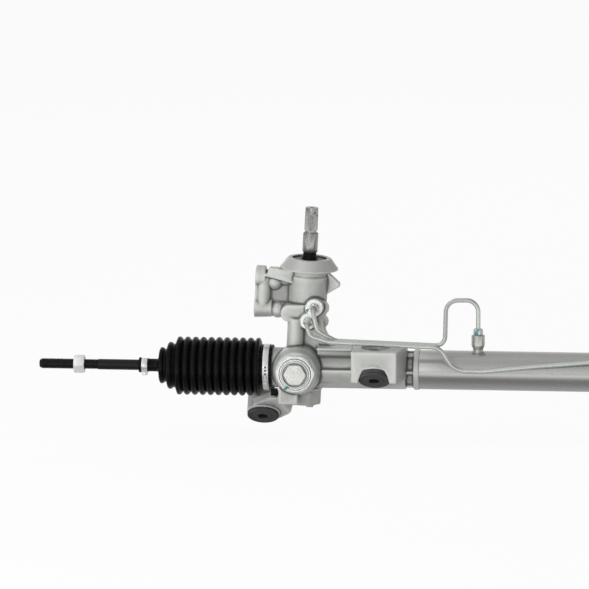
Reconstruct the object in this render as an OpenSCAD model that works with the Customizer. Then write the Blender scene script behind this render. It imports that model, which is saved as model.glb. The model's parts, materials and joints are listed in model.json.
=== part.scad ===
// Hydraulic rack-and-pinion steering gear with its tie rods.
// The rack runs along X, the input shaft points up, and the origin is the centre of the left mount bush.

/* [Rack] */
// Diameter of the rack bar
rack_d = 26; // [25:0.5:27]
// Travel of the rack each way from the middle
rack_travel = 70; // [55:1:72]
// Height of the tooth tips above the rack's axis
rack_tip_height = 9.5; // [9:0.1:10]
// Module of the rack and pinion teeth
tooth_module = 2; // [1.9:0.05:2.1]
// Clearance under the teeth
tooth_root_gap = 0.4; // [0.3:0.05:0.6]
// Play between the teeth at the pitch circle
tooth_play = 0.15; // [0.1:0.01:0.2]

/* [Pinion] */
// Number of pinion teeth
pinion_teeth = 8; // [8:1:9]
// Profile shift of the pinion, in modules
pinion_shift = 0.55; // [0.5:0.01:0.6]
// Tooth height of the pinion above its pitch circle, in modules
pinion_addendum = 1.2; // [1.1:0.05:1.25]
// Tooth height of the rack above its reference line, in modules
rack_addendum = 0.9; // [0.8:0.05:0.95]
// Lean of the pinion away from square to the rack, degrees
pinion_lean = 2.8; // [0:0.1:4]
// Length of the toothed part of the pinion
pinion_face = 28; // [24:1:30]
// Diameter of the lower pinion journal
pinion_journal_d = 12; // [11:0.5:13]
// Diameter of the upper pinion journal
pinion_upper_d = 22; // [21:0.5:23]
// Outer diameter of the ball bearing
bearing_d = 32; // [31:0.5:34]
// Width of the ball bearing
bearing_w = 10; // [9:0.5:11]
// Balls in the bearing
bearing_balls = 8; // [6:1:9]
// Distance across the flats of the pinion cap
cap_flats = 42; // [40:0.5:46]
// Height of the pinion cap's head
cap_head = 19.5; // [16:0.5:24]

/* [Valve tower] */
// Outer diameter of the tower
tower_d = 49.4; // [48:0.2:52]
// Height of the tower's top above the rack's axis
tower_top = 143; // [140:0.5:146]
// Bore of the valve
valve_bore_d = 38; // [37:0.5:39]
// Diameter of the input shaft at its bearing
input_d = 20.2; // [19:0.2:21]
// Diameter over the serrations of the input shaft
serration_d = 17.4; // [16.4:0.2:18]
// Serrations round the input shaft
serrations = 36; // [24:1:40]
// Height of the input shaft's end above the rack's axis
input_top = 212.8; // [209:0.2:216]
// Diameter of the torsion bar's thin middle
torsion_d = 5.2; // [4.8:0.1:5.6]
// Diameter of the torsion bar's ends
torsion_end_d = 6.8; // [6.2:0.1:7]
// Turn of the input shaft in the pinion, each way, degrees
valve_twist = 4; // [3:0.5:5]
// Bottom diameter of the dust shield
shield_d = 77; // [70:0.5:80]
// Opening of the dust shield
shield_hole_d = 45.8; // [44:0.2:47]
// Height of the dust shield
shield_h = 15; // [12:0.5:16]
// Sheet thickness of the dust shield
shield_t = 1.6; // [1.2:0.1:2]

/* [Casting] */
// Radius of the casting round the rack
casting_r = 26.5; // [25.5:0.1:27.5]
// Bore of the casting round the rack
casting_bore_d = 29; // [28:0.5:31]
// Radius of the guide boss
guide_boss_r = 32; // [30:0.5:33]
// Distance of the guide boss's face from the rack's axis
guide_boss_face = 40; // [38:0.5:42]
// Place of the gear housing's open end along the rack, from the pinion
left_mouth = 45; // [44:0.5:50]
// Thread diameter of the two pump line ports
pump_port_d = 14; // [12:0.5:15]
// Distance between the two pump line ports
pump_port_pitch = 41; // [38:0.5:42]
// Reach of the port flange to the left of the pinion's axis
flange_reach = 69.5; // [66:0.5:72]

/* [Rack guide] */
// Diameter of the rack guide
guide_d = 33; // [31:0.5:34]
// Place of the rack guide to the left of the pinion
guide_offset = 6.5; // [3:0.5:7]
// Diameter of the guide plug
plug_d = 37; // [36:0.5:38.5]
// Distance across the flats of the plug's head
plug_flats = 26; // [24:0.5:27]
// Distance across the flats of the lock nut
lock_nut_flats = 48; // [46:0.5:48]
// Diameter over the lock nut's rounded corners
lock_nut_d = 51; // [50:0.5:52]
// Height of the lock nut
lock_nut_h = 9; // [8:0.5:10]
// Wire of the guide's spring
guide_wire = 3; // [2.5:0.1:3.2]
// Turns of the guide's spring
guide_turns = 3.5; // [3:0.5:4]

/* [Cylinder] */
// Outer diameter of the cylinder tube
tube_d = 52; // [51:0.2:52.6]
// Wall of the cylinder tube
tube_wall = 2; // [1.6:0.1:2.4]
// Place of the tube's left end from the pinion
tube_start = 155; // [150:0.5:158]
// Length of the tube
tube_length = 315; // [300:1:330]
// Length of the end housing beyond the tube
end_housing_length = 74; // [73:0.5:78]
// Width of the piston
piston_w = 14; // [12:0.5:18]
// Place of the left tube port from the pinion
left_port_x = 232; // [230:0.5:236]
// Distance of the right tube port from the tube's right end
right_port_inset = 30; // [28:0.5:40]
// Outer diameter of a tube port's boss
port_boss_d = 17.8; // [16:0.2:18]
// Height of a tube port's boss above the rack's axis
port_boss_top = 48; // [44:0.5:50]

/* [Pipes] */
// Outer diameter of the pipes
pipe_d = 6; // [5:0.2:6.2]
// Wall of the pipes
pipe_wall = 1; // [0.7:0.1:1.2]
// Distance across the flats of the pipe nuts
pipe_nut_flats = 11; // [10:0.5:12]
// Length of a pipe nut that shows
pipe_nut_h = 8; // [7:0.5:9]

/* [Mounts] */
// Tilt of the bolt axes from the Z axis, degrees
bolt_tilt = 37; // [33:0.5:39]
// Level of the bushes' middle plane along the bolt axes, from the rack's axis
bolt_plane = -21; // [-23:0.5:-19]
// Outer diameter of a bush in its bore
bush_d = 35; // [33:0.5:36]
// Length of a bush
bush_length = 38.6; // [37:0.2:40]
// Outer diameter of a bush's upper rubber flange
bush_top_d = 38; // [37:0.5:39]
// Outer diameter of a bush's lower rubber flange
bush_flange_d = 42.4; // [41:0.2:43]
// Lift of the middle and right bushes along the bolt axes, above the left one
front_bush_lift = 3.3; // [0:0.1:4]
// Bolt hole of a bush
bolt_d = 12.6; // [12:0.1:13.4]
// Outer diameter of the steel sleeve in a bush
sleeve_d = 19; // [17:0.5:21]
// Wall of the casting round a bush
bush_wall = 4.2; // [4:0.1:5]
// Place of the left bush, to the left of the pinion
left_bush_x = 57; // [56:0.5:59]
// Distance of the left bush's axis from the rack's, behind it
left_bush_offset = 69; // [68:0.5:71]
// Place of the middle bush from the pinion
middle_bush_x = 98.5; // [96:0.5:100]
// Distance of the right bush from the tube's right end
right_bush_gap = 30.5; // [30:0.5:31.5]
// Distance of the middle and right bushes' axes from the rack's, before it
front_bush_offset = 38; // [37.5:0.5:39.5]
// Width of a mount block
block_w = 60; // [56:1:60]

/* [Boots] */
// Crests of a boot at its full diameter
boot_crests = 11; // [10:1:11]
// Distance from crest to crest
boot_pitch = 10.5; // [10:0.1:10.6]
// Diameter of a boot over its crests
boot_d = 77.4; // [74:0.2:78]
// Depth of a boot's folds
fold_depth = 5.4; // [4:0.2:7]
// Rubber thickness of a boot
boot_wall = 1.4; // [1.2:0.1:1.8]
// Outer diameter of a boot's large cuff
cuff_d = 60; // [59:0.5:61.5]
// Outer diameter of a boot's small neck
neck_d = 17; // [16.6:0.1:18]
// Sheet thickness of the clamps
clamp_t = 0.8; // [0.6:0.1:1]

/* [Tie rods] */
// Distance of a tie rod's ball from the casting's open end
ball_reach = 92; // [92:0.5:94]
// Diameter of a tie rod's ball
ball_d = 25; // [24:0.5:25.5]
// Outer diameter of a ball housing
ball_housing_d = 34; // [33.6:0.2:36]
// Wall of the nylon seat round the ball
seat_wall = 2.5; // [2.2:0.1:2.7]
// Diameter of a tie rod
rod_d = 14; // [13.8:0.1:14.6]
// Thread diameter of a tie rod
thread_d = 13.6; // [12.6:0.1:13.6]
// Length of a tie rod from its ball's centre to its tip
rod_length = 215.5; // [205:0.5:225]
// Length of a tie rod's thread
thread_length = 78; // [70:1:80]
// Thread diameter under the jam nut
nut_thread_d = 13.2; // [12.4:0.1:13.2]
// Place of the jam nut from the casting's open end
jam_nut_start = 247; // [240:1:250]
// Distance across the flats of a jam nut
jam_nut_flats = 22; // [20:0.5:24]
// Height of a jam nut
jam_nut_h = 14; // [10:0.5:15]

/* [Fits] */
// Clearance of turning and sliding fits, on the radius
running_gap = 0.05; // [0.03:0.01:0.08]
// Clearance between pieces that are pressed or screwed together, on the radius
seat_gap = 0.02; // [0.01:0.01:0.04]
// Clearance of parts that pass each other
free_gap = 0.4; // [0.3:0.05:0.6]

/* [Hidden] */
$fn = 48;
cut = 1;
casting_grey = [0.66, 0.67, 0.66];
zinc_white = [0.86, 0.87, 0.87];
steel_grey = [0.55, 0.56, 0.57];
rubber_black = [0.09, 0.09, 0.1];
rod_black = [0.14, 0.14, 0.15];
nylon_cream = [0.88, 0.86, 0.78];

// Tooth geometry, in the plane square to the pinion's axis
pressure_angle = 20;
pitch_r = pinion_teeth * tooth_module / 2;
base_r = pitch_r * cos(pressure_angle);
tip_r = pitch_r + pinion_addendum * tooth_module;
mesh_distance = pitch_r + pinion_shift * tooth_module;
rack_tip_r = mesh_distance - rack_addendum * tooth_module;
root_r = rack_tip_r - tooth_root_gap - 0.3;
pinion_y = rack_tip_height + rack_tip_r;
tooth_half_angle = (PI / 4 + pinion_shift * tan(pressure_angle)) * tooth_module / pitch_r
    - tooth_play / 2 / pitch_r;

// Heights along the pinion's axis
bearing_top = -pinion_face / 2 - 4;
bearing_bottom = bearing_top - bearing_w;
cap_top = bearing_bottom - 3.3;
needle_start = pinion_face / 2 + 2;
needle_length = 14;
pinion_seal_start = needle_start + needle_length + 1;
pinion_seal_h = 7;
head_start = pinion_seal_start + pinion_seal_h + 2;
head_h = 10;
sleeve_start = head_start + 3;
sleeve_h = 62;
valve_floor = head_start - 1;
valve_d = 22.8;
carrier_start = sleeve_start + sleeve_h + 2;
carrier_h = 24;
ring_start = carrier_start + carrier_h + 0.3;
ring_h = 1.8;
seal_start = carrier_start + 14;
neck_start = 145.5;
collar_start = 153;
waist_start = 179.8;
serration_start = 182.8;
serration_end = 202.5;
pin_height = 207.3;
pin_length = serration_d - 3.8;
tongue_flats = 10;
tongue_r = 7.5;

// Places along the rack
tube_end = tube_start + tube_length;
right_port_x = tube_end - right_port_inset;
right_bush_x = tube_end + right_bush_gap;
right_mouth = tube_end + end_housing_length;
ball_housing_face = ball_reach - 20;
spigot_length = 35;
end_spigot = 18;
tube_bore_r = tube_d / 2 - tube_wall;
rack_left = -left_mouth - ball_housing_face;
rack_right = right_mouth + ball_housing_face;
piston_x = (left_port_x + right_port_x) / 2;
carrier_x = tube_start + spigot_length + 0.5;
seal_r = tube_bore_r - 5;
seal_w = 9;

// Points that follow a rule
function unit(v) = v / norm(v);
function rack_point(x, forward, level) = [x, -forward, level];
function involute(r) = let (a = acos(min(1, base_r / r))) (tan(a) - a * PI / 180);
function flank_angle(r) = (tooth_half_angle + involute(pitch_r) - involute(max(r, base_r))) * 180 / PI;
function polar(r, a) = [r * cos(a), r * sin(a)];
function bush_y(offset) = -offset * cos(bolt_tilt) + bolt_plane * sin(bolt_tilt);
function bush_z(offset) = offset * sin(bolt_tilt) + bolt_plane * cos(bolt_tilt);

// The points of a bend of a pipe, turned from one run into the next
function bend(a, b, c, r, steps) =
    let (u = unit(b - a), v = unit(c - b), turn = acos(max(-1, min(1, u * v))))
    turn < 2 ? [b] :
    let (back = r * tan(turn / 2), n = unit(v - (u * v) * u), start = b - back * u, centre = start + r * n)
    [for (i = [0:steps]) centre + r * (sin(turn * i / steps) * u - cos(turn * i / steps) * n)];
function route(p, r, steps) = concat([p[0]],
    [for (i = [1:len(p) - 2]) each bend(p[i - 1], p[i], p[i + 1], r[i], steps)], [p[len(p) - 1]]);
function heading(p, i) = unit(p[min(i + 1, len(p) - 1)] - p[max(i - 1, 0)]);
function carried(p, i, n) = i == len(p) ? [] :
    let (t = heading(p, i), m = unit(n - (n * t) * t)) concat([m], carried(p, i + 1, m));

module tube_along(p, first_normal, r_out, r_in, sides) {
    rings = len(p);
    normals = carried(p, 0, first_normal);
    points = [for (r = [r_out, r_in]) for (i = [0:rings - 1]) let (n = normals[i], b = cross(heading(p, i), n))
        for (k = [0:sides - 1]) p[i] + r * (cos(360 * k / sides) * n + sin(360 * k / sides) * b)];
    inner = rings * sides;
    last = (rings - 1) * sides;
    faces = concat(
        [for (i = [0:rings - 2]) for (k = [0:sides - 1]) let (m = (k + 1) % sides)
            each [[i * sides + k, (i + 1) * sides + k, i * sides + m],
                [i * sides + m, (i + 1) * sides + k, (i + 1) * sides + m]]],
        [for (i = [0:rings - 2]) for (k = [0:sides - 1]) let (m = (k + 1) % sides)
            each [[inner + i * sides + k, inner + i * sides + m, inner + (i + 1) * sides + k],
                [inner + i * sides + m, inner + (i + 1) * sides + m, inner + (i + 1) * sides + k]]],
        [for (k = [0:sides - 1]) let (m = (k + 1) % sides)
            each [[k, m, inner + k], [m, inner + m, inner + k]]],
        [for (k = [0:sides - 1]) let (m = (k + 1) % sides)
            each [[last + k, inner + last + k, last + m], [last + m, inner + last + k, inner + last + m]]]);
    polyhedron(points, faces);
}

// Frames: the rack's, the pinion's, the guide's, a bush's and the two ends'
module at_rack() translate([left_bush_x, -bush_y(-left_bush_offset), -bush_z(-left_bush_offset)]) children();
module on_pinion() at_rack() translate([0, pinion_y, 0]) rotate([0, pinion_lean, 0]) children();
module along_x(x) translate([x, 0, 0]) rotate([0, 90, 0]) children();
module on_guide() at_rack() translate([-guide_offset, 0, 0]) rotate([90, 0, 0]) children();
module on_bush(x, offset) at_rack() translate([x, bush_y(offset), bush_z(offset)])
    rotate([-bolt_tilt, 0, 0]) children();
module left_end() at_rack() translate([-left_mouth, 0, 0]) rotate([0, -90, 0]) children();
module right_end() at_rack() translate([right_mouth, 0, 0]) mirror([1, 0, 0]) rotate([0, -90, 0]) children();
module left_bush() on_bush(-left_bush_x, -left_bush_offset) children();
module middle_bush() on_bush(middle_bush_x, front_bush_offset) translate([0, 0, front_bush_lift]) children();
module right_bush() on_bush(right_bush_x, front_bush_offset) translate([0, 0, front_bush_lift]) children();

module pipe_ring(h, r_out, r_in) difference() {
    cylinder(h = h, r = r_out);
    translate([0, 0, -cut]) cylinder(h = h + 2 * cut, r = r_in);
}
module hex_head(h, flats, chamfer) {
    corner_r = flats / 2 / cos(30);
    intersection() {
        cylinder(h = h, r = corner_r, $fn = 6);
        rotate_extrude() polygon([[0, 0], [corner_r, 0], [corner_r, h - chamfer], [corner_r - 2 * chamfer, h], [0, h]]);
    }
}

// The gear housing

// Reinforced tube round the rack, with its rail, and the neck that the left boot sits on
module rack_trough() {
    rail_top = 31.5;
    rail_front = 26;
    step_z = 2.5;
    along_x(-left_mouth) cylinder(h = left_mouth, r = casting_r);
    along_x(0) cylinder(h = tube_start - 18, r = casting_r - 4.5);
    intersection() {
        along_x(0) cylinder(h = tube_start - 18, r = casting_r);
        translate([-cut, -casting_r - cut, -casting_r - cut])
            cube([tube_start, 2 * casting_r + 2 * cut, casting_r + step_z + cut]);
    }
    translate([20, -rail_front, rail_top - 3.6]) cube([tube_start - 38, rail_front + 14, 3.6]);
    translate([20, -13, 12]) cube([tube_start - 38, 27, rail_top - 12.5]);
}

// Ribbed reach between the mount block and the tube's collar
module tube_collar() {
    collar_w = 7;
    rib = 4;
    along_x(tube_start - 19) cylinder(h = 15, r = casting_r - 5);
    for (a = [30:60:330]) rotate([a, 0, 0])
        translate([tube_start - 19, -rib / 2, 0]) cube([15, rib, casting_r - 1]);
    along_x(tube_start - collar_w) cylinder(h = collar_w, r = casting_r + 0.5);
    along_x(tube_start - cut) cylinder(h = spigot_length + cut, r = tube_bore_r - seat_gap);
}

module guide_boss() translate([-guide_offset, 0, 0]) rotate([90, 0, 0]) rotate_extrude() polygon([
    [0, 0], [guide_boss_r + 1, 0], [guide_boss_r, guide_boss_face - 14], [lock_nut_d / 2 + 2, guide_boss_face - 2],
    [lock_nut_d / 2 + 0.5, guide_boss_face], [0, guide_boss_face]]);

// Pinion column: lower boss, column and the tower for the valve
module pinion_column() translate([0, pinion_y, 0]) rotate([0, pinion_lean, 0]) {
    translate([0, 0, cap_top]) cylinder(h = -cap_top, r = bearing_d / 2 + 9);
    translate([0, 0, -cut]) cylinder(h = 68, r = bearing_d / 2 + 6);
    translate([0, 0, 62]) cylinder(h = tower_top - 62 - 22, r = valve_bore_d / 2 + 6.6);
    translate([0, 0, 84]) cylinder(h = tower_top - 84, r = tower_d / 2);
}

// Column in front, web to the right, and the plate under the guide boss
module stiffeners() {
    column_r = 11;
    translate([-11, pinion_y - 24, 20]) rotate([0, pinion_lean, 0]) cylinder(h = 48, r = column_r);
    translate([0, 13, 0]) rotate([90, 0, 0]) linear_extrude(18)
        polygon([[0, 17], [44, 17], [44, 22], [38, 34], [30, 48], [26, 66], [0, 70]]);
    translate([-30, -33, -44]) cube([25, 26, 30]);
}

// Long flat boss across the front of the column
module slot_boss() translate([0, pinion_y, 75.2]) rotate([90, 0, 0]) {
    translate([-17.6, 0, 0]) cylinder(h = 31, r = 11.3);
    translate([-17.6, -11.3, 0]) cube([31, 22.6, 31]);
}

// Bosses of the two pipes, and the back's smooth bulges beside them
pipe_boss = [[12, 84.3, 12], [4.7, 65.4, 11]];
pipe_boss_front = 33;
module pipe_bosses() translate([0, pinion_y, 0]) rotate([0, pinion_lean, 0]) {
    for (b = pipe_boss) translate([b[0], 0, b[1]]) rotate([90, 0, 0]) cylinder(h = pipe_boss_front, r = b[2]);
    for (z = [64.5, 82.5]) translate([14.2, 0, z]) rotate([90, 0, 20]) cylinder(h = 22, r = 10);
}

module tower_lug() translate([0, pinion_y, 0]) rotate([0, pinion_lean, 0])
    translate([0, 5, 0]) rotate([90, 0, 0]) linear_extrude(9) {
        translate([38.5, 111.5]) circle(r = 4);
        polygon([[15, 134], [24, 129], [41, 114.7], [42.1, 113], [39.9, 107.9], [27, 99], [15, 94]]);
    }

// Flange on the left of the tower: two port bosses, the pillar between them and the lumps round the passages
pump_port_mid = 96.2;
port_wall = 7.5;
module port_flange() translate([0, pinion_y, 0]) rotate([0, pinion_lean, 0]) {
    low = pump_port_mid - pump_port_pitch / 2;
    high = pump_port_mid + pump_port_pitch / 2;
    port_r = pump_port_d / 2 + port_wall;
    for (z = [low, high]) translate([-flange_reach, -2, z]) rotate([0, 90, 0])
        cylinder(h = flange_reach - 10, r = port_r - 5);
    translate([-flange_reach, -2, high]) rotate([0, 90, 0]) cylinder(h = 13, r = port_r);
    translate([-flange_reach, -2, low]) rotate([0, 90, 0]) cylinder(h = 23, r1 = port_r, r2 = port_r - 2);
    translate([-flange_reach, -12.5, low]) cube([3.5, 23.5, pump_port_pitch]);
    translate([-flange_reach + 10.4, -5, low]) cylinder(h = pump_port_pitch, r = 10.2);
    translate([-45, -3, high - 5]) sphere(r = 11);
    translate([-38.5, -4, low - 2]) sphere(r = 11);
    translate([-48, -6, low]) cube([38, 14, pump_port_pitch]);
    translate([-56, -16.5, 0]) rotate([90, 0, 0]) mirror([0, 0, 1]) linear_extrude(14.5)
        polygon([[0.5, 119.2], [4.3, 131.1], [16.5, 130.9], [17.5, 130.2], [44, 130.2], [44, 110.5],
            [37.4, 111.6], [20, 115.4]]);
}

// Boss of the left bush and the arm that carries it
left_flange_h = 4.8;
front_flange_h = 8.4;
top_flange_h = 3;
module left_ear() {
    ear_r = bush_d / 2 + bush_wall;
    translate([-left_bush_x, bush_y(-left_bush_offset), bush_z(-left_bush_offset)]) rotate([-bolt_tilt, 0, 0]) {
        translate([0, 0, -bush_length / 2 + left_flange_h + 0.1])
            cylinder(h = bush_length - left_flange_h - top_flange_h - 0.2, r = ear_r);
        translate([0, 0, -bush_length / 2 + 7.2]) linear_extrude(10.5) polygon([[-12, -20], [10, -39.5], [22, -41],
            [26, -60], [52, -64], [50, -30], [44, -21], [43, -11], [40, -5], [33.5, 7], [25, 15.6], [19, 21.6], [0, 0]]);
    }
}

// Block in front of the rack for the middle or the right bush
module mount_block(x, right_chamfer) {
    front = -bush_y(front_bush_offset) + 19.3;
    translate([x, 0, -8]) linear_extrude(42) polygon([[-block_w / 2, -front], [block_w / 2, -front],
        [block_w / 2 + right_chamfer, -front + 38], [block_w / 2 + right_chamfer, 4], [-block_w / 2, 4]]);
    translate([x, bush_y(front_bush_offset), bush_z(front_bush_offset)]) rotate([-bolt_tilt, 0, 0])
        translate([0, 0, -bush_length / 2 + 12]) cylinder(h = bush_length - 16, r = bush_d / 2 + bush_wall);
}
module bush_bore(x, offset) translate([x, bush_y(offset), bush_z(offset)]) rotate([-bolt_tilt, 0, 0])
    translate([0, 0, -bush_length]) cylinder(h = 2 * bush_length, r = bush_d / 2);

// Bore of a mount block, wider round the bush's two flanges
module block_bore(x) {
    pocket_r = bush_flange_d / 2 + free_gap;
    bush_bore(x, front_bush_offset);
    translate([x, bush_y(front_bush_offset), bush_z(front_bush_offset)]) rotate([-bolt_tilt, 0, 0])
        translate([0, 0, front_bush_lift]) {
            translate([0, 0, -bush_length / 2 + front_flange_h + 0.1]) mirror([0, 0, 1])
                cylinder(h = 40, r = pocket_r);
            translate([0, 0, bush_length / 2 - top_flange_h - 0.1])
                cylinder(h = 40, r = bush_top_d / 2 + free_gap);
        }
}

module gear_housing_bores() {
    along_x(-left_mouth - cut) cylinder(h = left_mouth + tube_start + spigot_length + 2 * cut, r = casting_bore_d / 2);
    along_x(-left_mouth - cut) cylinder(h = 16, r = casting_r - 5.5);
    translate([-guide_offset, 0, 0]) rotate([90, 0, 0]) {
        cylinder(h = guide_boss_face + cut, r = guide_d / 2 + running_gap);
        translate([0, 0, plug_inner - 0.3]) cylinder(h = 20, r = plug_d / 2 + seat_gap);
    }
    translate([0, pinion_y, 0]) rotate([0, pinion_lean, 0]) {
        translate([0, 0, cap_top - 40]) cylinder(h = 40, r = cap_flats / 2 / cos(30) + free_gap);
        translate([0, 0, cap_top - cut]) cylinder(h = bearing_top - cap_top + cut, r = bearing_d / 2 + seat_gap);
        translate([0, 0, bearing_top - cut]) cylinder(h = valve_floor - bearing_top, r = tip_r + 1.2);
        translate([0, 0, needle_start]) cylinder(h = valve_floor - needle_start + cut, r = pinion_upper_d / 2 + 4);
        translate([0, 0, valve_floor]) cylinder(h = tower_top - valve_floor + cut, r = valve_bore_d / 2);
        translate([0, 0, ring_start]) cylinder(h = ring_h, r = valve_bore_d / 2 + 1.2);
        for (b = pipe_boss) translate([b[0], -valve_bore_d / 2 + 8, b[1]]) rotate([90, 0, 0])
            cylinder(h = pipe_boss_front, r = 3.2);
        for (b = pipe_boss) translate([b[0], -pipe_boss_front + 12, b[1]]) rotate([90, 0, 0])
            cylinder(h = 12 + cut, r = pipe_nut_flats / 2 - 0.2);
        for (s = [-1, 1]) translate([-flange_reach - cut, -2, pump_port_mid + s * pump_port_pitch / 2])
            rotate([0, 90, 0]) {
                cylinder(h = 16 + cut, r = pump_port_d / 2);
                cylinder(h = flange_reach - 12, r = pump_port_d / 2 - 2.5);
            }
    }
    bush_bore(-left_bush_x, -left_bush_offset);
    block_bore(middle_bush_x);
}

module gear_housing() color(casting_grey) at_rack() difference() {
    union() {
        rack_trough();
        tube_collar();
        guide_boss();
        pinion_column();
        stiffeners();
        slot_boss();
        pipe_bosses();
        tower_lug();
        port_flange();
        left_ear();
        mount_block(middle_bush_x, 10);
    }
    gear_housing_bores();
}

// Housing at the right end of the tube, with the rack's bush and the right mount
end_seal_x = tube_end - end_spigot;
rack_bush_length = 30;
module end_housing() color(casting_grey) at_rack() difference() {
    union() {
        along_x(tube_end - end_spigot) cylinder(h = end_spigot + cut, r = tube_bore_r - seat_gap);
        along_x(tube_end) cylinder(h = 7, r = casting_r + 0.5);
        along_x(tube_end) cylinder(h = end_housing_length, r = casting_r);
        mount_block(right_bush_x, 0);
    }
    along_x(end_seal_x - cut) cylinder(h = right_mouth - end_seal_x + 2 * cut, r = casting_bore_d / 2);
    along_x(end_seal_x - cut) cylinder(h = seal_w + 1 + cut, r = seal_r + seat_gap);
    along_x(right_mouth - 12 - rack_bush_length)
        cylinder(h = rack_bush_length + 12 + cut, r = rack_d / 2 + 4 + seat_gap);
    along_x(right_mouth - 10) cylinder(h = 12, r = casting_r - 5.5);
    block_bore(right_bush_x);
}

// Pieces of the valve tower
module dust_shield() color(casting_grey) on_pinion() {
    grip_r = tower_d / 2 + seat_gap;
    top_r = shield_hole_d / 2 + 6.5;
    bottom = tower_top + 2.6 - shield_h;
    top = tower_top + 2.6;
    rotate_extrude() polygon([
        [shield_hole_d / 2, top - shield_t], [shield_hole_d / 2, top], [top_r - 1.2, top], [top_r, top - 0.9],
        [shield_d / 2, bottom + 1.6], [shield_d / 2, bottom], [shield_d / 2 - shield_t, bottom],
        [shield_d / 2 - shield_t, bottom + 1.2], [top_r - shield_t, top - shield_t],
        [grip_r + shield_t, top - shield_t], [grip_r + shield_t, bottom + 3], [grip_r, bottom + 3],
        [grip_r, top - shield_t]]);
}
module input_dust_seal() color(rubber_black) on_pinion() {
    inner = input_d / 2 + running_gap;
    outer = valve_bore_d / 2 - 0.3;
    base = ring_start + ring_h + 0.3;
    rotate_extrude() polygon([[inner, base], [outer, base], [outer, base + 3], [inner + 3, base + 4.5],
        [inner + 0.8, neck_start + 1.5], [inner - 1.2, collar_start - 3], [inner - 1.6, collar_start - 0.4],
        [inner - 2.5, collar_start - 0.4], [inner - 2.5, neck_start + 0.5], [inner, neck_start + 0.2]]);
}
module bearing_carrier() color(steel_grey) on_pinion() rotate_extrude() polygon([
    [input_d / 2 + 0.5, carrier_start], [valve_bore_d / 2 - seat_gap, carrier_start],
    [valve_bore_d / 2 - seat_gap, carrier_start + carrier_h], [16 + seat_gap, carrier_start + carrier_h],
    [16 + seat_gap, seal_start], [13.2 + seat_gap, seal_start], [13.2 + seat_gap, carrier_start + 1.5],
    [input_d / 2 + 0.5, carrier_start + 1.5]]);
module input_shaft_seal() color(rubber_black) on_pinion() rotate_extrude() polygon([
    [input_d / 2 + running_gap, seal_start + 1], [12, seal_start + 0.4], [16, seal_start + 0.4],
    [16, seal_start + 7.6], [12.4, seal_start + 7.6], [12.4, seal_start + 5.6],
    [input_d / 2 + running_gap, seal_start + 6.6]]);
module retaining_ring() color(steel_grey) on_pinion() translate([0, 0, ring_start + 0.1]) difference() {
    cylinder(h = ring_h - 0.2, r = valve_bore_d / 2 + 0.8);
    translate([0, 0, -cut]) cylinder(h = ring_h + 2 * cut, r = valve_bore_d / 2 - 2.5);
    translate([0, -4, -cut]) cube([valve_bore_d, 8, ring_h + 2 * cut]);
}
module input_shaft_bearing() color(steel_grey) on_pinion() needle_ring(carrier_start + 1.7, 11.6, input_d / 2, 13.2);
module pinion_needle_bearing() color(steel_grey) on_pinion()
    needle_ring(needle_start + 0.3, needle_length - 0.5, pinion_upper_d / 2, pinion_upper_d / 2 + 4 - seat_gap);

// Drawn cup with its needles: the shell and the needles are solids of their own
module needle_ring(z, h, inner, outer) {
    shell = 1;
    needle_r = (outer - shell - inner - running_gap) / 2 - seat_gap;
    track = inner + running_gap + needle_r;
    count = floor(2 * PI * track / (needle_r * 2.6));
    translate([0, 0, z]) rotate_extrude() polygon([[inner + 0.3, 0], [outer, 0], [outer, h], [inner + 0.3, h],
        [inner + 0.3, h - shell], [outer - shell, h - shell], [outer - shell, shell], [inner + 0.3, shell]]);
    for (i = [0:count - 1]) rotate([0, 0, 360 * i / count])
        translate([track, 0, z + shell + 0.1]) cylinder(h = h - 2 * shell - 0.2, r = needle_r, $fn = 16);
}
module pinion_seal() color(rubber_black) on_pinion() rotate_extrude() let (r = pinion_upper_d / 2)
    polygon([[r + running_gap, pinion_seal_start + 1], [r + 4 - seat_gap, pinion_seal_start],
        [r + 4 - seat_gap, pinion_seal_start + pinion_seal_h], [r + 2, pinion_seal_start + pinion_seal_h],
        [r + 2, pinion_seal_start + 4], [r + running_gap, pinion_seal_start + 5]]);

// Ball bearing of the pinion's lower end
ball_r = (bearing_d - pinion_journal_d) / 4 - 2.2;
ball_track = (bearing_d + pinion_journal_d) / 4;
module race_groove() rotate_extrude() translate([ball_track, 0]) circle(r = ball_r + seat_gap);
module pinion_bearing_outer_race() color(steel_grey) on_pinion() translate([0, 0, bearing_bottom]) difference() {
    pipe_ring(bearing_w, bearing_d / 2, ball_track + ball_r * 0.55);
    translate([0, 0, bearing_w / 2]) race_groove();
}
module pinion_bearing_inner_race() color(steel_grey) on_pinion() translate([0, 0, bearing_bottom]) difference() {
    pipe_ring(bearing_w, ball_track - ball_r * 0.55, pinion_journal_d / 2 + seat_gap);
    translate([0, 0, bearing_w / 2]) race_groove();
}
module pinion_bearing_balls() color(steel_grey) on_pinion() translate([0, 0, bearing_bottom + bearing_w / 2])
    for (i = [0:bearing_balls - 1]) rotate([0, 0, 360 * i / bearing_balls])
        translate([ball_track, 0, 0]) sphere(r = ball_r - seat_gap, $fn = 24);
module pinion_nut() color(steel_grey) on_pinion() translate([0, 0, bearing_bottom - 8.2]) difference() {
    cylinder(h = 8, r = 9.5, $fn = 6);
    translate([0, 0, -cut]) cylinder(h = 8 + 2 * cut, r = pinion_journal_d / 2 - 1 + seat_gap);
}
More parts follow.
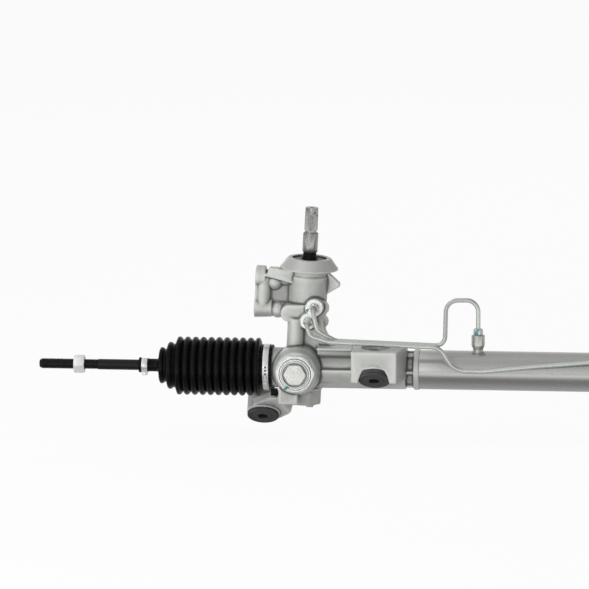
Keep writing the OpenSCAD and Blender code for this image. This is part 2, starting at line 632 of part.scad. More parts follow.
module pinion_cap() color(casting_grey) on_pinion() {
    spigot_r = bearing_d / 2 - seat_gap;
    difference() {
        union() {
            translate([0, 0, cap_top - 0.1 - cap_head]) cylinder(h = cap_head, r = cap_flats / 2 / cos(30), $fn = 6);
            translate([0, 0, cap_top - cut]) cylinder(h = bearing_bottom - cap_top + cut - 0.1, r = spigot_r);
            translate([6, -14, cap_top - cap_head - 3]) cube([9, 9, 4]);
        }
        translate([0, 0, cap_top - 15]) cylinder(h = 30, r = 11.5);
        translate([0, 0, cap_top - cap_head - cut]) pipe_ring(cap_head - 0.1 + cut, 40, cap_flats / 2 / cos(30) - 0.6);
    }
}

// Rack guide, its spring, plug and lock nut, along the guide's own axis
guide_length = 27;
plug_inner = guide_boss_face - 7.4;
plug_outer = guide_boss_face + lock_nut_h + 3;
guide_start = plug_inner - 0.6 - guide_length;
module rack_guide() color("silver") on_guide() difference() {
    translate([0, 0, guide_start]) cylinder(h = guide_length, r = guide_d / 2);
    rotate([0, 90, 0]) cylinder(h = 2 * guide_d, r = rack_d / 2 + running_gap, center = true);
    translate([0, 0, guide_start + guide_length - 9]) cylinder(h = 9 + cut, r = 12);
    translate([0, 0, guide_start + guide_length - 6]) pipe_ring(3, guide_d, guide_d / 2 - 2);
}
module rack_guide_o_ring() color(rubber_black) on_guide()
    translate([0, 0, guide_start + guide_length - 4.5]) rotate_extrude()
        translate([guide_d / 2 - 1 - 0.05, 0]) circle(r = 0.95, $fn = 16);
module rack_guide_spring() color(steel_grey) on_guide() {
    coil_r = 9;
    low = guide_start + guide_length - 9 + guide_wire / 2 + 0.1;
    high = plug_inner + 6 - guide_wire / 2 - 0.1;
    steps = guide_turns * 14;
    points = [for (i = [0:steps]) [coil_r * cos(360 * i / 14), coil_r * sin(360 * i / 14),
        low + (high - low) * i / steps]];
    tube_along(points, [1, 0, 0], guide_wire / 2, guide_wire / 8, 8);
}
module rack_guide_plug() color(zinc_white) on_guide() {
    groove = 3.5;
    difference() {
        translate([0, 0, plug_inner]) cylinder(h = plug_outer - plug_inner, r = plug_d / 2);
        translate([0, 0, plug_inner - cut]) cylinder(h = 6 + cut, r = 12);
        translate([0, 0, plug_outer - groove]) cylinder(h = groove + cut, r = plug_d / 2 - 2.1);
    }
    translate([0, 0, plug_outer - groove - cut]) hex_head(groove + 1.5 + cut, plug_flats, 1);
}
module rack_guide_lock_nut() color(zinc_white) on_guide() translate([0, 0, guide_boss_face + 0.1]) difference() {
    union() {
        intersection() {
            hex_head(lock_nut_h, lock_nut_flats, 1.6);
            cylinder(h = lock_nut_h, r = lock_nut_d / 2);
        }
        cylinder(h = lock_nut_h + 1.2, r = lock_nut_flats / 2 - 2.2);
    }
    translate([0, 0, -cut]) cylinder(h = lock_nut_h + 3 * cut, r = plug_d / 2 + seat_gap);
    translate([0, 0, lock_nut_h - 1.5]) cylinder(h = 4, r1 = plug_d / 2, r2 = plug_d / 2 + 3);
}

// Power cylinder
module tube_port_bore(x) translate([x, 0, 0]) cylinder(h = tube_d, r = 3);
module cylinder_tube() color(steel_grey) at_rack() difference() {
    along_x(tube_start + 0.1) pipe_ring(tube_length - 0.2, tube_d / 2, tube_bore_r);
    for (x = [left_port_x, right_port_x]) tube_port_bore(x);
}
module port_boss(x) color(zinc_white) at_rack() difference() {
    translate([x, 0, 0]) rotate_extrude() polygon([[0, 0], [port_boss_d / 2 - 2.5, 0],
        [port_boss_d / 2 - 2.5, tube_d / 2 + 3], [port_boss_d / 2, tube_d / 2 + 7], [port_boss_d / 2, port_boss_top],
        [0, port_boss_top]]);
    along_x(x - port_boss_d) cylinder(h = 2 * port_boss_d, r = tube_d / 2 + seat_gap);
    tube_port_bore(x);
    translate([x, 0, port_boss_top - 12]) cylinder(h = 20, r = pipe_nut_flats / 2 - 0.2);
}
module left_port_boss() port_boss(left_port_x);
module right_port_boss() port_boss(right_port_x);
module inner_seal_carrier() color(steel_grey) at_rack() along_x(carrier_x) rotate_extrude() polygon([
    [casting_bore_d / 2, 0], [tube_bore_r - seat_gap, 0], [tube_bore_r - seat_gap, seal_w + 5],
    [seal_r + seat_gap, seal_w + 5], [seal_r + seat_gap, 4], [casting_bore_d / 2, 4]]);
seal_depth = seal_r - rack_d / 2;
module rack_seal() rotate_extrude() polygon([[rack_d / 2 + running_gap, 0.5], [seal_r, 0], [seal_r, seal_w],
    [seal_r - seal_depth / 3, seal_w], [seal_r - seal_depth / 2, seal_w - 3],
    [rack_d / 2 + seal_depth / 3, seal_w - 3], [rack_d / 2 + running_gap, seal_w]]);
module inner_rack_seal() color(rubber_black) at_rack() along_x(carrier_x + 4.2) rack_seal();
module outer_rack_seal() color(rubber_black) at_rack() translate([end_seal_x + seal_w + 0.8, 0, 0])
    rotate([0, -90, 0]) rack_seal();
module rack_bush() color(nylon_cream) at_rack() along_x(right_mouth - 12 - rack_bush_length + 0.1)
    pipe_ring(rack_bush_length, rack_d / 2 + 4, rack_d / 2 + running_gap);

// Pipes from the tower to the two ends of the cylinder, as corners and the bend radius at each
pipe_r = pipe_d / 2;
function boss_face(b) = [b[0] * cos(pinion_lean) + b[1] * sin(pinion_lean), pinion_y - pipe_boss_front,
    b[1] * cos(pinion_lean) - b[0] * sin(pinion_lean)];
left_pipe_start = boss_face(pipe_boss[0]);
right_pipe_start = boss_face(pipe_boss[1]);
pipe_lie = tube_d / 2 + pipe_r + 0.8;
function beside_tube(x, z) = [x, -sqrt(pipe_lie * pipe_lie - z * z), z];
pipe_depth = 10;
loop_w = 42;
left_route = [
    left_pipe_start + [0, pipe_depth, 0], left_pipe_start - [0, 21, 0], [22, -38, 57], [46, -32, 43],
    [left_port_x - loop_w, -28, 38], [left_port_x - loop_w, -6, 94.5], [left_port_x, 0, 94.5],
    [left_port_x, 0, port_boss_top - pipe_depth]];
left_bends = [0, 8, 14, 18, 12, 16, 16];
right_route = [
    right_pipe_start + [0, pipe_depth, 0], right_pipe_start - [0, 23, 0], [13, -41, 50], [38, -40, 42.5],
    [left_port_x - 49, -37, 37], beside_tube(left_port_x - 30, 4.5), beside_tube(left_port_x + 8, 4.2),
    beside_tube(left_port_x + 76, 11.5), beside_tube(right_port_x - 62, 17.4),
    beside_tube(right_port_x - 48, 19), [right_port_x - loop_w, -18, 86], [right_port_x, 0, 86],
    [right_port_x, 0, port_boss_top - pipe_depth]];
right_bends = [0, 8, 12, 20, 16, 28, 60, 60, 60, 12, 16, 16];
module left_cylinder_pipe() color(zinc_white) at_rack()
    tube_along(route(left_route, left_bends, 5), [1, 0, 0], pipe_r, pipe_r - pipe_wall, 12);
module right_cylinder_pipe() color(zinc_white) at_rack()
    tube_along(route(right_route, right_bends, 5), [1, 0, 0], pipe_r, pipe_r - pipe_wall, 12);
module pipe_nut() difference() {
    union() {
        cylinder(h = pipe_nut_h, r = pipe_nut_flats / 2 / cos(30), $fn = 6);
        translate([0, 0, -7]) cylinder(h = 7 + cut, r = pipe_nut_flats / 2 - 0.25);
    }
    translate([0, 0, -8]) cylinder(h = pipe_nut_h + 10, r = pipe_r + 0.1);
}
module pipe_nuts() color(zinc_white) at_rack() {
    for (p = [left_pipe_start, right_pipe_start]) translate(p - [0, 0.1, 0]) rotate([90, 0, 0]) pipe_nut();
    for (x = [left_port_x, right_port_x]) translate([x, 0, port_boss_top + 0.1]) pipe_nut();
}

// Mount bushes, their lower end towards the bolt's head
module mount_bush(flange_h) rotate_extrude() {
    half = bush_length / 2;
    bore = bush_d / 2 - seat_gap;
    flange = bush_flange_d / 2;
    top = bush_top_d / 2;
    polygon([[bolt_d / 2 + 0.6, -half], [flange - 1.5, -half], [flange, -half + 1.2], [flange, -half + 2.6],
        [flange - 1, -half + 2.8], [flange - 1, -half + 3.6], [flange, -half + 3.8], [flange, -half + flange_h],
        [bore, -half + flange_h], [bore, half - top_flange_h], [top, half - top_flange_h],
        [top, half - 1], [top - 1, half], [bolt_d / 2 + 0.6, half], [bolt_d / 2 + 0.6, half - 1],
        [sleeve_d / 2 + seat_gap, half - 1], [sleeve_d / 2 + seat_gap, -half + 1], [bolt_d / 2 + 0.6, -half + 1]]);
}
module bush_sleeve() translate([0, 0, -bush_length / 2 + 1.1]) pipe_ring(bush_length - 2.2, sleeve_d / 2, bolt_d / 2);
module left_mount_bush() color(rubber_black) left_bush() mount_bush(left_flange_h);
module middle_mount_bush() color(rubber_black) middle_bush() mount_bush(front_flange_h);
module right_mount_bush() color(rubber_black) right_bush() mount_bush(front_flange_h);
module left_bush_sleeve() color(steel_grey) left_bush() bush_sleeve();
module middle_bush_sleeve() color(steel_grey) middle_bush() bush_sleeve();
module right_bush_sleeve() color(steel_grey) right_bush() bush_sleeve();

// Rack with its teeth, piston and ring
tooth_travel = rack_travel + 14;
module tooth_comb() {
    pitch = PI * tooth_module;
    each_way = floor(tooth_travel / pitch);
    root = -tip_r - tooth_root_gap;
    root_w = PI / 4 * tooth_module + (mesh_distance + root) * tan(pressure_angle);
    tip_w = PI / 4 * tooth_module + (mesh_distance - rack_tip_r) * tan(pressure_angle);
    end = each_way * pitch + pitch / 2;
    polygon(concat([[-end, rack_d], [-end, -rack_tip_r]],
        [for (i = [-each_way:each_way]) each [[i * pitch - tip_w, -rack_tip_r], [i * pitch - root_w, root],
            [i * pitch + root_w, root], [i * pitch + tip_w, -rack_tip_r]]],
        [[end, -rack_tip_r], [end, rack_d]]));
}
module rack_bar() color(steel_grey) at_rack() difference() {
    along_x(rack_left) cylinder(h = rack_right - rack_left, r = rack_d / 2);
    translate([0, pinion_y, 0]) rotate([0, pinion_lean, 0])
        translate([0, 0, -rack_d]) linear_extrude(2 * rack_d) tooth_comb();
    along_x(rack_left - cut) cylinder(h = 24 + cut, r = 7);
    along_x(rack_right - 24) cylinder(h = 24 + cut, r = 7);
    along_x(piston_x - piston_w / 2 - 2) pipe_ring(2, rack_d, rack_d / 2 - 0.8);
    along_x(piston_x + piston_w / 2) pipe_ring(2, rack_d, rack_d / 2 - 0.8);
}
module piston() color(steel_grey) at_rack() along_x(piston_x - piston_w / 2) difference() {
    pipe_ring(piston_w, tube_bore_r - 0.5, rack_d / 2 + seat_gap);
    translate([0, 0, piston_w / 2 - 2]) pipe_ring(4, tube_d, tube_bore_r - 3);
}
module piston_ring() color(rod_black) at_rack() along_x(piston_x - 1.9)
    pipe_ring(3.8, tube_bore_r - running_gap, tube_bore_r - 2.9);

// Pieces at each end, along the tie rod's axis, measured outwards from the casting's open end
seat_r = ball_d / 2 + running_gap + seat_wall;
socket_r = seat_r + running_gap;
mouth_angle = 57;
seat_angle = 52;
module ball_housing() {
    lip = ball_reach + 9.5;
    difference() {
        union() {
            translate([0, 0, ball_housing_face + 0.1]) cylinder(h = lip - ball_housing_face, r = ball_housing_d / 2);
            translate([0, 0, ball_housing_face - 22]) cylinder(h = 24, r = 7 - seat_gap);
        }
        translate([0, 0, ball_reach]) sphere(r = socket_r);
        translate([0, 0, ball_reach]) cylinder(h = 14, r1 = 0.1, r2 = 14 * tan(mouth_angle));
        for (s = [-1, 1]) translate([s * (ball_housing_d / 2 + 13.6), 0, ball_housing_face + 8])
            cube([30, 2 * ball_housing_d, 8], center = true);
    }
}
module ball_seat() translate([0, 0, ball_reach]) difference() {
    sphere(r = seat_r);
    sphere(r = ball_d / 2 + running_gap);
    cylinder(h = 20, r1 = 0.1, r2 = 20 * tan(seat_angle));
}
module tie_rod() {
    tip = ball_reach + rod_length;
    thread_start = tip - thread_length;
    translate([0, 0, ball_reach]) sphere(r = ball_d / 2);
    translate([0, 0, ball_reach]) cylinder(h = 22, r = 6);
    translate([0, 0, ball_reach + 20]) cylinder(h = 3, r1 = 6, r2 = rod_d / 2);
    translate([0, 0, ball_reach + 23 - 0.01]) cylinder(h = thread_start - ball_reach - 23 + 0.02, r = rod_d / 2);
    translate([0, 0, thread_start]) rod_thread();
}
module rod_thread() {
    chamfer = 1.5;
    free_start = jam_nut_start + jam_nut_h + 1.5 - (ball_reach + rod_length - thread_length);
    cylinder(h = free_start + cut, r = nut_thread_d / 2);
    translate([0, 0, free_start]) cylinder(h = thread_length - chamfer - free_start, r = thread_d / 2);
    translate([0, 0, thread_length - chamfer]) cylinder(h = chamfer, r1 = thread_d / 2, r2 = thread_d / 2 - chamfer);
}
module jam_nut() translate([0, 0, jam_nut_start]) difference() {
    corner_r = jam_nut_flats / 2 / cos(30);
    intersection() {
        cylinder(h = jam_nut_h, r = corner_r, $fn = 6);
        rotate_extrude() polygon([[0, 0], [corner_r - 1.6, 0], [corner_r, 0.8], [corner_r, jam_nut_h - 0.8],
            [corner_r - 1.6, jam_nut_h], [0, jam_nut_h]]);
    }
    translate([0, 0, -cut]) cylinder(h = jam_nut_h + 2 * cut, r = nut_thread_d / 2 + seat_gap);
}

// Boot: large cuff, crests, two smaller crests and the small neck, as one profile with an even wall
cuff_start = -5.3;
boot_first_crest = 14.8;
boot_end = 174;
boot_lip = 1.7;
function crest(u, r, w) = [[u - w, r - 1.3], [u - w / 2, r - 0.3], [u, r], [u + w / 2, r - 0.3], [u + w, r - 1.3]];
boot_folds = let (r = boot_d / 2, last = boot_first_crest + (boot_crests - 1) * boot_pitch) concat(
    [[10, cuff_d / 2]],
    [for (i = [0:boot_crests - 1]) let (u = boot_first_crest + i * boot_pitch)
        each concat(i == 0 ? [] : [[u - boot_pitch / 2, r - fold_depth]], crest(u, r, 2.2))],
    [[last + 6.8, r - 10]], crest(last + 12.3, r - 7.3, 2), [[last + 18.4, r - 17]],
    crest(last + 23.8, r - 14.5, 2), [[last + 28.2, neck_d / 2 + 1.2], [last + 30, neck_d / 2]]);
function left_of(a, b) = let (d = unit(b - a)) [d[1], -d[0]];
function inset(p, w) = [for (i = [0:len(p) - 1])
    let (m = left_of(p[max(i - 1, 0)], p[max(i, 1)]),
        n = left_of(p[min(i, len(p) - 2)], p[min(i + 1, len(p) - 1)]))
    p[i] + w * (m + n) / (1 + m * n)];
module boot() {
    inner = inset(boot_folds, boot_wall);
    bore = rod_d / 2 + seat_gap;
    outline = concat([[cuff_start, cuff_d / 2]], boot_folds,
        [[boot_end - 3.3, neck_d / 2], [boot_end - 3.3, neck_d / 2 + boot_lip], [boot_end, neck_d / 2 + boot_lip],
        [boot_end, bore], [inner[len(inner) - 1][0] + 1, bore]],
        [for (i = [len(inner) - 1:-1:0]) inner[i]],
        [[2.5, casting_r + seat_gap], [cuff_start, casting_r + seat_gap]]);
    rotate_extrude() polygon([for (q = outline) [q[1], q[0]]]);
    difference() {
        translate([-cuff_d / 2 - 8, -6, -10.7]) cube([12, 12, 8.7]);
        translate([0, 0, -20]) cylinder(h = 40, r = cuff_d / 2 - 1);
    }
}
module large_clamp() {
    r = cuff_d / 2 + seat_gap;
    translate([0, 0, -1]) pipe_ring(7.8, r + clamp_t, r);
    rotate([0, 0, 235]) translate([r + clamp_t / 2, -6, -0.2]) cube([4.6, 12, 6.2]);
}
module small_clamp() {
    r = neck_d / 2 + seat_gap;
    translate([0, 0, 162.5]) pipe_ring(8, r + clamp_t, r);
    for (s = [-1, 1]) rotate([0, 0, 180 + s * 9]) translate([r + clamp_t / 2, -1, 163]) cube([5, 2, 7]);
}
module left_boot() color(rubber_black) left_end() boot();
module right_boot() color(rubber_black) right_end() boot();
module left_large_clamp() color(zinc_white) left_end() large_clamp();
module right_large_clamp() color(zinc_white) right_end() large_clamp();
module left_small_clamp() color(zinc_white) left_end() small_clamp();
module right_small_clamp() color(zinc_white) right_end() small_clamp();
module left_ball_housing() color(steel_grey) left_end() ball_housing();
module right_ball_housing() color(steel_grey) right_end() ball_housing();
module left_ball_seat() color(nylon_cream) left_end() ball_seat();
module right_ball_seat() color(nylon_cream) right_end() ball_seat();
module left_tie_rod() color(rod_black) left_end() tie_rod();
module right_tie_rod() color(rod_black) right_end() tie_rod();
module left_jam_nut() color(zinc_white) left_end() jam_nut();
module right_jam_nut() color(zinc_white) right_end() jam_nut();

// Pinion: teeth, journals and the slotted head that the input shaft's tongue turns in
module tooth_outline() polygon([for (i = [0:pinion_teeth - 1]) let (a = 360 * i / pinion_teeth - 90)
    each concat([polar(root_r, a - flank_angle(base_r) - 1)],
        [for (k = [0:4]) let (r = base_r + (tip_r - base_r) * k / 4) polar(r, a - flank_angle(r))],
        [for (k = [4:-1:0]) let (r = base_r + (tip_r - base_r) * k / 4) polar(r, a + flank_angle(r))],
        [polar(root_r, a + flank_angle(base_r) + 1)])]);
slot_flats = 2 * tongue_r * sin(asin(tongue_flats / 2 / tongue_r) + valve_twist) + 0.1;
module pinion() color(steel_grey) on_pinion() difference() {
    union() {
        translate([0, 0, -pinion_face / 2]) linear_extrude(pinion_face) tooth_outline();
        translate([0, 0, pinion_face / 2]) cylinder(h = head_start - pinion_face / 2, r = pinion_upper_d / 2);
        translate([0, 0, head_start - 0.01]) cylinder(h = head_h, r = pinion_upper_d / 2 + 3);
        translate([0, 0, -pinion_face / 2 - 4]) cylinder(h = 4.01, r = root_r);
        translate([0, 0, bearing_bottom]) cylinder(h = bearing_w, r = pinion_journal_d / 2);
        translate([0, 0, bearing_bottom - 10]) cylinder(h = 10.01, r = pinion_journal_d / 2 - 1);
    }
    translate([0, 0, head_start - 6]) intersection() {
        cylinder(h = 30, r = tongue_r + 0.3);
        translate([-20, -slot_flats / 2, 0]) cube([40, slot_flats, 30]);
    }
    translate([0, 0, head_start - 36]) cylinder(h = 40, r = torsion_end_d / 2 + running_gap);
}
module valve_sleeve() color(steel_grey) on_pinion() translate([0, 0, sleeve_start]) difference() {
    pipe_ring(sleeve_h, valve_bore_d / 2 - 0.5, valve_d / 2 + running_gap);
    translate([0, 0, -cut]) cylinder(h = head_h - 3 + 0.2 + cut, r = pinion_upper_d / 2 + 3 + seat_gap);
    for (i = [0:3]) translate([0, 0, 10.5 + 13.5 * i]) pipe_ring(2.6, valve_bore_d, valve_bore_d / 2 - 2.5);
    for (i = [0:2]) translate([0, 0, 16.8 + 13.5 * i]) pipe_ring(4, valve_bore_d, valve_bore_d / 2 - 2);
    for (i = [0:2]) for (a = [0:120:240]) rotate([0, 0, a + 30 * i]) translate([0, 0, 18.8 + 13.5 * i])
        rotate([0, 90, 0]) cylinder(h = valve_bore_d, r = 1.5);
}
module valve_sleeve_rings() color(rod_black) on_pinion()
    for (i = [0:3]) translate([0, 0, sleeve_start + 10.6 + 13.5 * i])
        pipe_ring(2.4, valve_bore_d / 2 - running_gap, valve_bore_d / 2 - 2.4);

// Input shaft: tongue, valve lands, journal, neck under the dust seal, collar and serrated end
module serration_outline() polygon([for (i = [0:serrations - 1]) let (a = 360 / serrations)
    each [polar(serration_d / 2, i * a), polar(serration_d / 2 - 0.7, (i + 0.5) * a)]]);
module input_shaft() color(steel_grey) on_pinion() {
    tongue_start = head_start - 5.5;
    lands_start = head_start + head_h + 0.5;
    lands_end = sleeve_start + sleeve_h - 1;
    difference() {
        union() {
            translate([0, 0, tongue_start]) intersection() {
                cylinder(h = lands_start - tongue_start + 0.01, r = tongue_r);
                translate([-20, -tongue_flats / 2, 0]) cube([40, tongue_flats, 40]);
            }
            translate([0, 0, lands_start]) cylinder(h = lands_end - lands_start, r = valve_d / 2);
            translate([0, 0, lands_end - 0.01]) cylinder(h = neck_start - lands_end + 0.01, r = input_d / 2);
            translate([0, 0, neck_start - 0.01]) cylinder(h = collar_start - neck_start + 0.02, r = 7.5);
            translate([0, 0, collar_start]) rotate_extrude() polygon([[0, 0], [input_d / 2 - 0.8, 0],
                [input_d / 2, 1], [input_d / 2, waist_start - collar_start - 1.4],
                [input_d / 2 - 1.2, waist_start - collar_start], [0, waist_start - collar_start]]);
            translate([0, 0, waist_start - 0.01]) cylinder(h = serration_start - waist_start + 0.02, r = 7.6);
            translate([0, 0, serration_start]) linear_extrude(serration_end - serration_start) serration_outline();
            translate([0, 0, serration_end - 0.01]) cylinder(h = input_top - serration_end, r = serration_d / 2 - 0.1);
        }
        for (i = [0:5]) rotate([0, 0, 60 * i]) translate([valve_d / 2 - 1, -1.5, lands_start + 8])
            cube([4, 3, lands_end - lands_start - 16]);
        translate([0, 0, tongue_start - cut]) cylinder(h = input_top, r = torsion_end_d / 2 + seat_gap);
        translate([0, 0, pin_height]) rotate([90, 0, 30])
        cylinder(h = 3 * pin_length, r = 2 + seat_gap, center = true);
        for (a = [-15, 75]) rotate([0, 0, a]) translate([-12, -19.4, serration_end]) cube([24, 12, 20]);
    }
}
module torsion_bar() color(steel_grey) on_pinion() difference() {
    bottom = head_start - 34;
    translate([0, 0, bottom]) rotate_extrude() polygon([[0, 0], [torsion_end_d / 2, 0], [torsion_end_d / 2, 20],
        [torsion_d / 2, 24], [torsion_d / 2, pin_height - bottom - 14], [torsion_end_d / 2, pin_height - bottom - 10],
        [torsion_end_d / 2, input_top - bottom - 1], [0, input_top - bottom - 1]]);
    translate([0, 0, pin_height]) rotate([90, 0, 30])
        cylinder(h = 3 * pin_length, r = 2 + seat_gap, center = true);
}
module torsion_bar_pin() color(zinc_white) on_pinion() translate([0, 0, pin_height]) rotate([90, 0, 30])
    cylinder(h = pin_length, r = 2, center = true);

gear_housing();
end_housing();
dust_shield();
input_dust_seal();
bearing_carrier();
input_shaft_seal();
retaining_ring();
input_shaft_bearing();
pinion_needle_bearing();
pinion_seal();
pinion_bearing_outer_race();
pinion_bearing_balls();
pinion_bearing_inner_race();
pinion_nut();
pinion_cap();
rack_guide();
rack_guide_o_ring();
rack_guide_spring();
rack_guide_plug();
rack_guide_lock_nut();
cylinder_tube();
left_port_boss();
right_port_boss();
inner_seal_carrier();
inner_rack_seal();
outer_rack_seal();
rack_bush();
left_cylinder_pipe();
right_cylinder_pipe();
pipe_nuts();
left_mount_bush();
middle_mount_bush();
right_mount_bush();
left_bush_sleeve();
middle_bush_sleeve();
right_bush_sleeve();
left_boot();
right_boot();
left_large_clamp();
right_large_clamp();
left_small_clamp();
right_small_clamp();
rack_bar();
piston();
piston_ring();
left_ball_housing();
right_ball_housing();
left_ball_seat();
right_ball_seat();
left_tie_rod();
right_tie_rod();
left_jam_nut();
right_jam_nut();
pinion();
valve_sleeve();
valve_sleeve_rings();
input_shaft();
torsion_bar();
torsion_bar_pin();
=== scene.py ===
import json
import math

import bpy
import numpy as np
from mathutils import Matrix, Vector


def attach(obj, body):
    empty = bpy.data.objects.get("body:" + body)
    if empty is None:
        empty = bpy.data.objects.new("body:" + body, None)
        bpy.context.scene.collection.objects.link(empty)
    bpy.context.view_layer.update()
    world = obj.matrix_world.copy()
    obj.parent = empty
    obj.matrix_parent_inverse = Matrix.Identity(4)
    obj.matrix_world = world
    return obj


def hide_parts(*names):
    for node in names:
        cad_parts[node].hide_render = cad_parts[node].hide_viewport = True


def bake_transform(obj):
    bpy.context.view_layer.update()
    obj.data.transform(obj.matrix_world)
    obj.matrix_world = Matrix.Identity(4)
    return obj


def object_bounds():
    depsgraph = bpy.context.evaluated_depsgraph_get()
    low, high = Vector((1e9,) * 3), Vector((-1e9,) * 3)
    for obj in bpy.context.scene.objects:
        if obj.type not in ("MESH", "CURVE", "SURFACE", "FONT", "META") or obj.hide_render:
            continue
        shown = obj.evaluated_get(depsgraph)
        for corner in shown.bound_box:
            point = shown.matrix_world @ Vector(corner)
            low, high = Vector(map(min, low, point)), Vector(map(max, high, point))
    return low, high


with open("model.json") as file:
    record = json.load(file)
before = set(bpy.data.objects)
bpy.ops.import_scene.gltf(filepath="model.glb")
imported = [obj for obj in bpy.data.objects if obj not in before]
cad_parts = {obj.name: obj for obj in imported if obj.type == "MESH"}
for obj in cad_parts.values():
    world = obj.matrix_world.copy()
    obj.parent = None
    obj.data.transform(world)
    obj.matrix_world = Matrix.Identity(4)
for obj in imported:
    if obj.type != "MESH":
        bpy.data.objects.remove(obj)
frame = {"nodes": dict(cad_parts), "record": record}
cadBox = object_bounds()
nodes = frame["nodes"]
slotOf = {part["node"]: part["material_slot"] for part in frame["record"]["subparts"]}
print("frame loaded:", len(nodes), "nodes")


# Places on the gear are given in millimetres from the point of the rack's axis below the pinion's
bushPlace = Vector((-57.0, 42.4679, -58.2966))  # centre of the left bush, the frame's origin


def place(x, y, z):
    return (Vector((x, y, z)) - bushPlace) / 1000


# Frames that pieces are turned in: their Z is the piece's own axis
pinionLean = math.radians(2.8)
boltTilt = math.radians(37)
leftMouth, rightMouth = 45.0, 544.0  # the castings' open ends, left and right of the pinion
pinionFrame = Matrix.Translation(place(0, 16.8, 0)) @ Matrix.Rotation(pinionLean, 4, "Y")
guideFrame = Matrix.Translation(place(-6.5, 0, 0)) @ Matrix.Rotation(math.radians(90), 4, "X")
leftFrame = Matrix.Translation(place(-leftMouth, 0, 0)) @ Matrix.Rotation(math.radians(-90), 4, "Y")


def alongRack(x):
    return Matrix.Translation(place(x, 0, 0)) @ Matrix.Rotation(math.radians(90), 4, "Y")


def upright(x, y=0.0, z=0.0):
    return Matrix.Translation(place(x, y, z))


def onBush(x, y, z):
    return Matrix.Translation(place(x, y, z)) @ Matrix.Rotation(-boltTilt, 4, "X")


def onPinion(x, y, z):  # millimetres in the leaning frame of the pinion
    return pinionFrame @ Matrix.Translation(Vector((x, y, z)) / 1000)


# Camera: a long lens from far off, a little above the rack and turned slightly to the left
camera = {"spot": (720.6, -7570.9, 1515.4), "turn": -0.0964, "dip": 0.1842, "roll": -0.0022,
          "focalPixels": 5849.6, "pictureWidth": 589, "sensor": 36.0}


def addCamera():
    ahead = Vector((math.sin(camera["turn"]) * math.cos(camera["dip"]),
                    math.cos(camera["turn"]) * math.cos(camera["dip"]), -math.sin(camera["dip"])))
    flatRight = Vector((math.cos(camera["turn"]), -math.sin(camera["turn"]), 0))
    flatUp = flatRight.cross(ahead)
    right = flatRight * math.cos(camera["roll"]) + flatUp * math.sin(camera["roll"])
    up = flatUp * math.cos(camera["roll"]) - flatRight * math.sin(camera["roll"])
    data = bpy.data.cameras.new("camera")
    data.sensor_width = camera["sensor"]
    data.lens = camera["focalPixels"] / camera["pictureWidth"] * camera["sensor"]
    data.clip_end = 100
    obj = bpy.data.objects.new("camera", data)
    bpy.context.scene.collection.objects.link(obj)
    turn = Matrix((right, up, -ahead)).transposed().to_4x4()
    obj.matrix_world = Matrix.Translation(place(*camera["spot"])) @ turn
    bpy.context.scene.camera = obj


addCamera()
bpy.context.scene.view_settings.view_transform = "Standard"
print("camera placed")


# Node helpers for materials
def newMaterial(name):
    mat = bpy.data.materials.new(name)
    mat.use_nodes = True
    mat.node_tree.nodes.clear()
    return mat, mat.node_tree


def addNode(tree, kind, **values):
    node = tree.nodes.new(kind)
    for key, value in values.items():
        if key.startswith("in_"):
            node.inputs[key[3:].replace("_", " ")].default_value = value
        else:
            setattr(node, key, value)
    return node


def link(tree, a, b):
    tree.links.new(a, b)


def spread(tree, value, low, high, fromLow=0.0, fromHigh=1.0):
    node = addNode(tree, "ShaderNodeMapRange")
    node.inputs["From Min"].default_value = fromLow
    node.inputs["From Max"].default_value = fromHigh
    node.inputs["To Min"].default_value = low
    node.inputs["To Max"].default_value = high
    link(tree, value, node.inputs["Value"])
    return node.outputs[0]


def levels(tree, value, stops):
    # grey levels along the value, from (place, level) pairs
    ramp = addNode(tree, "ShaderNodeValToRGB")
    while len(ramp.color_ramp.elements) < len(stops):
        ramp.color_ramp.elements.new(0.5)
    for element, (at, level) in zip(ramp.color_ramp.elements, stops):
        element.position = at
        element.color = (level, level, level, 1)
    link(tree, value, ramp.inputs[0])
    return ramp.outputs[0]


# Studio: pale floor, white surround, four soft lamps. Metal sees a softer, darker room than the diffuse light
studio = {"floorGap": 0.012, "floorSize": 60.0, "worldLight": 0.38,
          "room": [(0.0, 0.34), (0.40, 0.45), (0.50, 0.85), (0.57, 0.88), (0.66, 0.74), (0.80, 0.62), (0.92, 0.52),
                   (1.0, 0.58)],
          "sides": [(0.0, 0.20), (0.16, 0.24), (0.25, 0.34), (0.30, 0.95), (0.33, 0.95), (0.38, 0.50), (0.50, 0.46),
                    (0.62, 0.34), (0.80, 0.20), (0.92, 0.24), (1.0, 0.34)],
          "sideLift": 2.3, "floorReach": (0.35, -1.15), "floorLift": 1.6,
          "floorSeen": [(0.0, 0.42), (0.20, 0.40), (0.265, 0.32), (0.30, 0.20), (0.345, 0.15), (0.38, 0.28),
                        (0.43, 0.60), (0.52, 0.85), (0.70, 0.68), (1.0, 0.42)]}


